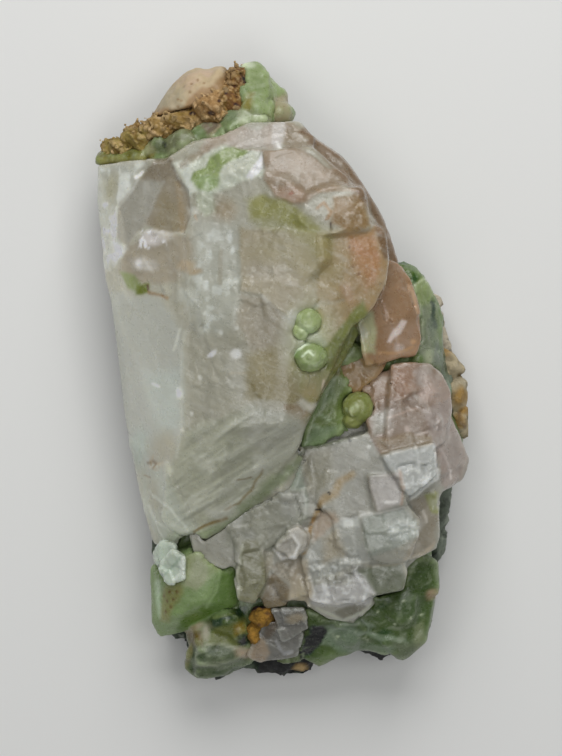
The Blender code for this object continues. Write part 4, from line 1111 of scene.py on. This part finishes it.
def prehnite_crust():
    skin = Skin("prehnite_crust", 0.5, smoothing=4, colour=(100, 114, 80))
    area = skin.area
    up = skin.facing_up(0.0, 0.5)
    big = area("145,560 185,550 235,545 240,605 200,622 165,645 145,620", 4)
    deep_green = area("372,590 404,560 430,560 434,612 412,645 356,626", 4)
    fibrous = area("180,635 215,640 262,650 250,690 180,690", 6)
    bubbly = np.clip(area("395,262 435,270 440,330 455,400 430,400 415,320", 5)
                     + area("345,300 380,300 378,350 345,375", 4)
                     + 0.7 * area("90,130 215,100 300,50 300,120 215,165 90,170", 6), 0, 1)
    skin.push(GAP + 0.1)
    height, shade = skin.blocks((5, 6, 5), 65, tilt=1.2, edge=0.3)
    skin.push(0.35 * height * (1 - 0.7 * big))
    skin.push(0.45 * skin.rough(5, 66, 3) * (1 - 0.7 * big))
    skin.botryoidal(2.6, 0.6, 61, bubbly)
    skin.botryoidal(1.3, 0.22, 62, bubbly)
    fibres = skin.start * (0.35, 1.1, 1.0)
    skin.push(0.4 * rough(fibres, 1.4, 67, 3) * fibrous)
    frost = ridges(skin.start, 3.2, 64)
    skin.push(0.12 * frost * (1 - big))
    skin.push(0.05 * skin.rough(1.2, 63))
    top_band = area("90,130 215,100 240,50 300,50 300,130 215,165 90,175", 6)
    skin.push(0.35 * skin.rough(1.8, 60, 3) * top_band)
    skin.find_normals()

    skin.marks(GREEN_LUMP, DARK_NOTCH)
    skin.tint((132, 136, 116), fibrous * smoothstep(0.1, 0.5, rough(fibres, 1.4, 67, 3)) * 0.6)
    skin.tint((58, 70, 54), fibrous * smoothstep(0.05, 0.5, -rough(fibres, 2.0, 68, 3)) * 0.7)
    skin.marks(FIBROUS_ROCK, DEEP_GREEN, VALLEY, RIGHT_BAND, TOP_EDGE)
    skin.tint((150, 156, 138), smoothstep(0.25, 0.6, skin.rough(1.6, 59, 3)) * deep_green * 0.35)
    skin.lighten(0.07 * shade + 0.12 * skin.rough(3, 58))
    rest = 1 - np.clip(big + 0.4 * deep_green, 0, 1)
    skin.tint((160, 168, 144), smoothstep(0.72, 0.92, frost) * up * rest * 0.4)
    underside = skin.below(16, 10.5)
    skin.tint((72, 84, 62), 0.5 * underside)
    skin.tint((118, 112, 84), 0.6 * underside * smoothstep(0.1, 0.5, skin.rough(6, 69)))
    # Painted highlight along the crests, and painted shade in the creases
    skin.crests((150, 162, 126), 0.03, 0.1, 0.3, passes=2)
    skin.cracks(0.6, 0.02, 0.09, 0.6, passes=2)
    skin.show(PREHNITE, glare=0.04, gain=1.13)


# Painted highlights in bright arcs and dabs, and shades, on the three balls; the last mark is the right ball's
# painted highlight
BALL_LIGHTS = """
stroke 214,222,204 1.6 .85 1.2 1 @ 294,358 298,352 305,346
stroke 200,212,186 1.4 .7 1 1 @ 303,357 309,352 313,356
stroke 164,180,128 2 .6 @ 296,368 306,371 318,369
dab 196,206,184 5 3 0 .7 @ 306,345
dab 90,112,66 5 5 0 .6 @ 300,355
dab 146,160,124 7 5 0 .5 @ 310,330
stroke 186,192,156 1.4 .6 1 1 @ 351,410 353,415
"""


def prehnite_balls():
    tones = {"prehnite_ball_upper": (134, 145, 104), "prehnite_ball_lower": (126, 138, 98),
             "prehnite_ball_right": (117, 122, 78)}
    for seed, (node, colour) in enumerate(tones.items(), 71):
        skin = Skin(node, 0.2, smoothing=8, colour=colour)
        skin.push(0.7 * GAP)
        skin.push(0.26 * skin.rough(2.0, seed, 3))
        skin.botryoidal(2.2, 0.4, seed)
        skin.find_normals()
        skin.clouds((168, 178, 146), 0.6, 1.8, seed, 0.0, 0.5)
        skin.clouds((104, 120, 74), 0.4, 2.4, seed + 9, 0.0, 0.6)
        skin.marks(BALL_LIGHTS)
        # Painted shade in the creases
        skin.cracks(0.75, 0.008, 0.04, 0.5)
        skin.show(PREHNITE, glare=0.04, gain=1.25, evened=0.3)


# The black spots, the brown dab and the paler right side
ROCK_EDGES = """
fill 22,22,20 .85 @ 250,650 300,648 320,670 262,680
fill 24,24,22 .85 @ 356,642 404,646 404,664 360,660
dab 150,128,92 7 4 0 .8 @ 299,668
fill 114,120,109 .6 @ 440,420 484,420 484,610 436,610
fill 148,140,124 .9 3 @ 432,290 452,298 462,366 446,368 438,330
"""


def basalt_matrix():
    skin = Skin("basalt_matrix", 0.6, colour=(50, 56, 48))
    side = smoothstep(0.3, 1.4, skin.start[:, 2])
    height, shade = skin.blocks((5, 4, 3.5), 81, tilt=1.4, edge=0.12)
    skin.push((0.6 * height + 0.45 * skin.rough(3, 82)) * side)
    height, small_shade = skin.blocks((1.8, 1.6, 1.4), 83, tilt=1.4, edge=0.15)
    skin.push(0.22 * height * side)
    skin.find_normals()
    skin.lighten(0.25 * shade + 0.15 * small_shade)
    skin.clouds((84, 92, 80), 0.7, 4, 84, -0.1, 0.4)
    skin.clouds((146, 148, 138), 0.6, 2, 85, 0.25, 0.5)
    skin.clouds((96, 76, 48), 0.5, 7, 86, 0.3, 0.6)
    skin.marks(ROCK_EDGES)
    # Painted shade in the creases
    skin.cracks(0.45, 0.02, 0.1, 0.6)
    skin.show(BASALT, glare=0.03, gain=1.2, evened=0.8)


# Brown stains, and painted shade in dark pits
RIND_SPOTS = """
dab 138,110,66 5 3 0 .8 @ 446,354
dab 138,110,66 5 8 0 .8 @ 459,396
dab 138,110,66 4 6 0 .8 @ 460,420
dab 138,110,66 4 5 0 .8 @ 464,410
dab 42,34,16 3.2 3.2 0 .9 .5 1 @ 458.6,374.6
dab 42,34,16 1.8 1.8 0 .9 .5 1 @ 467.7,411
dab 120,102,60 1.4 1.2 0 .9 .5 .5 @ 458,374
stroke 92,80,72 2 .6 @ 460,412 460,420 463,426
"""


def tan_crust():
    skin = Skin("tan_crust", 0.3, smoothing=2, colour=(150, 140, 118))
    first, _, own = bubbles(skin.start, 2.4, 91)
    pits = smoothstep(0.5, 0.2, first) * (own > 0.6)
    skin.push(GAP + 0.1 + 0.7 * skin.rough(3.4, 92) - 0.6 * pits)
    skin.find_normals()
    skin.clouds((168, 160, 140), 0.6, 2.4, 93, 0.0, 0.5)
    skin.clouds((126, 108, 78), 0.5, 4, 94, 0.2, 0.6)
    skin.marks(RIND_SPOTS)
    # Painted shade in the pits and creases
    skin.tint(skin.paint * 0.6, np.clip(pits + smoothstep(-0.02, -0.08, skin.bends(1)), 0, 1) * 0.7)
    skin.show(TAN, gain=1.2, evened=0.4)


SPLINTERS = 560
SPLINTER_SEED = 105
SPLINTER_LENGTHS, SPLINTER_WIDTHS = (0.8, 2.2), (0.2, 0.4)
SPLINTER_OUTLINE = ((-0.4, 0.8), (0.5, 1.0), (1.0, 0.3))  # how far along, as a share of the length, and how wide
SPLINTER_SECTION = ((-1, -0.5), (1, -0.5), (0.2, 0.8))  # a triangle


def tufts(mesh):
    """Adds thin splinters that lie over the crust, so that it looks shaggy."""
    draw = random.Random(SPLINTER_SEED)
    shape = bmesh.new()
    shape.from_mesh(mesh)
    faces = [f for f in shape.faces if f.normal.z > -0.3]
    areas = [f.calc_area() for f in faces]
    made = []
    for face in draw.choices(faces, areas, k=SPLINTERS):
        a, b, c = (v.co for v in face.verts)
        u, v = draw.random(), draw.random()
        if u + v > 1:
            u, v = 1 - u, 1 - v
        root = a + (b - a) * u + (c - a) * v
        way = Vector((draw.gauss(0.4, 0.8), draw.gauss(-0.3, 0.8), draw.gauss(0.1, 0.4)))
        way = (way - way.project(face.normal) + face.normal * draw.uniform(0.05, 0.5)).normalized()
        across = way.cross(face.normal).normalized()
        sizes = draw.uniform(*SPLINTER_LENGTHS), draw.uniform(*SPLINTER_WIDTHS)
        made.append((root, way, across, face.normal.copy(), *sizes))
    for root, way, across, normal, length, width in made:
        points = []
        for along, wide in SPLINTER_OUTLINE:
            for side, lift in SPLINTER_SECTION:
                where = root + (way * along * length + (across * side + normal * lift) * width * wide) * MM
                points.append(shape.verts.new(where))
        bmesh.ops.convex_hull(shape, input=points)
    shape.to_mesh(mesh)
    shape.free()


# The crust's four stretches
CRUST_TONES = """
fill 94,66,30 .8 @ 222,66 252,66 254,112 226,112
fill 124,112,66 .8 @ 98,130 148,130 146,160 98,160
fill 138,110,78 .8 @ 188,90 222,90 222,118 188,118
fill 148,126,92 .8 @ 186,116 210,116 208,142 188,142
"""

# Painted shade in the crust's dark hollows
CRUST_HOLLOWS = """
dab 36,22,8 2.4 5 -30 .85 .5 1.5 @ 244,81
dab 36,22,8 2 3 0 .85 .5 1.5 @ 226,92
dab 36,22,8 2 4 -35 .85 .5 1.5 @ 237,106
dab 36,22,8 3 2 0 .85 .5 1.5 @ 192,113.6
dab 36,22,8 4 2.4 10 .85 .5 1.5 @ 211,113
dab 36,22,8 2 2 0 .85 .5 1.5 @ 219,101
"""


def brown_crust():
    skin = Skin("brown_crust", 0.24, colour=(124, 103, 66), extra=tufts)
    along_fibres, across_fibres = (0.78, -0.62, 0), (0.62, 0.78, 0)
    stretched = [skin.start @ along_fibres * 0.25, skin.start @ across_fibres, skin.start[:, 2]]
    grain = rough(np.stack(stretched, axis=1), 0.9, 102, 3)
    skin.push(0.2 + 0.55 * skin.rough(2.4, 101) + 0.18 * grain)
    skin.push(0.5 * skin.spot((230, 76), 8, 16, wander=0))
    skin.find_normals()
    skin.marks(CRUST_TONES)
    skin.tint((176, 150, 114), smoothstep(0.1, 0.5, grain) * 0.6)
    skin.tint((84, 60, 34), smoothstep(0.05, 0.5, -grain) * 0.65)
    skin.clouds((106, 88, 40), 0.5, 3, 103, 0.1, 0.5)
    skin.marks(CRUST_HOLLOWS)
    # Painted highlight along the crests, and painted shade in the creases
    skin.crests((178, 156, 122), 0.01, 0.05, 0.35)
    skin.cracks(0.35, 0.01, 0.06, 0.85)
    skin.show(BROWN, glare=0.03, gain=1.3, evened=0)


# A greyer left, brown grains and the line along the crust
LUMP_SPOTS = """
fill 151,143,119 .7 6 @ 150,96 182,86 190,112 156,122
dab 118,92,62 1.4 1.3 0 .75 .5 2 @ 198,79.6 205,83 191,83 210,88.5 181,100 178,106 190,92 178,99
stroke 120,96,66 2 .7 @ 223,70 221,84 224,97
"""

# The crust's tone over the lump's edge
LUMP_EDGE = """
fill 136,108,76 .75 3 9 @ 150,112 178,108 196,94 214,88 226,70 240,66 240,112 150,130
"""


def beige_lump():
    skin = Skin("beige_lump", 0.28, smoothing=5, colour=(163, 146, 117))
    skin.push(0.2 + 0.6 * skin.rough(4, 111, 3) + 0.16 * skin.rough(1.3, 112, 3))
    first, _, own = bubbles(skin.start, 1.8, 115)
    pits = smoothstep(0.3, 0.1, first) * (own > 0.85)
    skin.push(-0.12 * pits)
    skin.push(0.8 * skin.spot((222, 76), 8, 16, wander=0))
    skin.find_normals()
    skin.clouds((176, 160, 132), 0.6, 5, 113, -0.1, 0.5)
    skin.clouds((144, 124, 92), 0.5, 3, 114, 0.15, 0.6)
    skin.clouds((172, 148, 132), 0.5, 3, 116, 0.0, 0.5)
    skin.marks(LUMP_SPOTS)
    skin.tint(skin.paint * 0.72, pits * 0.7)
    skin.marks(LUMP_EDGE)
    skin.show(BEIGE, glare=0.03, gain=1.12, evened=0)


def limonite_patch():
    skin = Skin("limonite_patch", 0.2, colour=(126, 98, 52))
    first, _, _ = bubbles(skin.start, 0.8, 121)
    skin.push(GAP + 0.3 * (0.5 - first) + 0.6 * skin.rough(1.6, 122))
    skin.find_normals()
    skin.clouds((158, 118, 62), 0.6, 1.2, 123, 0.0, 0.5)
    skin.clouds((70, 52, 30), 0.6, 0.9, 124, 0.1, 0.5, 3)
    skin.stroke("251,612 258,609 266,610", (20, 14, 8), 2.4, 0.8)
    # Painted shade in the creases
    skin.cracks(0.5, 0.01, 0.06, 0.7)
    skin.show(LIMONITE, glare=0.03, gain=1.4, evened=0)


CALCITE = crystal_material("calcite", veil=(0.66, 0.66, 0.6, 1), tint_radius=(1.0, 0.92, 0.75), clear=0.15,
                           absorbed=(0.9, 0.87, 0.78, 1))
PINK = crystal_material("pink_calcite", veil=(0.55, 0.42, 0.33, 1), tint_radius=(1.0, 0.7, 0.5), clear=0.15,
                        absorbed=(0.86, 0.7, 0.56, 1))
PREHNITE = prehnite_material()
BASALT = earthy_material("basalt", 0.7, 0.3, dull=0.7, darker=0.5, dust=(0.17, 0.2, 0.16, 1), dust_share=0.4)
TAN = earthy_material("tan_crust", 0.6, 0.2, dull=0.85, darker=0.7, dust=(0.5, 0.45, 0.36, 1))
BROWN = earthy_material("brown_crust", 0.4, 0.15, dull=0.9, darker=0.6, dust=(0.45, 0.34, 0.2, 1))
BEIGE = earthy_material("beige_lump", 0.8, 0.08, dull=0.55, darker=0.85, dust=(0.5, 0.43, 0.32, 1))
LIMONITE = earthy_material("limonite", 0.4, 0.25, dull=0.9, darker=0.55, dust=(0.42, 0.26, 0.09, 1),
                           dust_share=0.4)


# Floor, light and camera


def floor():
    bpy.ops.mesh.primitive_plane_add(size=FLOOR_SIZE)
    plane = bpy.context.object
    plane.name = "floor"
    material = bpy.data.materials.new("floor")
    material.use_nodes = True
    shader = material.node_tree.nodes["Principled BSDF"]
    shader.inputs["Base Color"].default_value = FLOOR_COLOUR
    shader.inputs["Roughness"].default_value = FLOOR_ROUGHNESS
    plane.data.materials.append(material)


def lights():
    world = bpy.data.worlds.new("studio")
    bpy.context.scene.world = world
    world.use_nodes = True
    background = world.node_tree.nodes["Background"]
    background.inputs["Color"].default_value = SKY_COLOUR
    background.inputs["Strength"].default_value = SKY
    for name, (where, size, watts) in LAMPS.items():
        lamp = bpy.data.lights.new(name, "AREA")
        lamp.size = size
        lamp.energy = watts
        obj = bpy.data.objects.new(name, lamp)
        obj.location = where
        away = obj.location.normalized()
        obj.rotation_euler = away.to_track_quat("Z", "Y").to_euler()
        bpy.context.scene.collection.objects.link(obj)


def camera():
    lens = bpy.data.cameras.new("camera")
    lens.sensor_width = SENSOR
    lens.lens = SENSOR * (EYE_HEIGHT - TRUE_HEIGHT) / (FRAME_HEIGHT_PX / PX_PER_MM)
    lens.clip_end = FAR_CLIP
    obj = bpy.data.objects.new("camera", lens)
    obj.location = place(*FRAME_CENTRE_PX, TRUE_HEIGHT) * MM
    obj.location.z = EYE_HEIGHT * MM
    bpy.context.scene.collection.objects.link(obj)
    bpy.context.scene.camera = obj


main_calcite()
pink_calcite()
stepped_calcite()
small_crystals()
prehnite_crust()
prehnite_balls()
basalt_matrix()
tan_crust()
brown_crust()
beige_lump()
limonite_patch()
floor()
lights()
camera()
bpy.context.scene.view_settings.view_transform = "Standard"
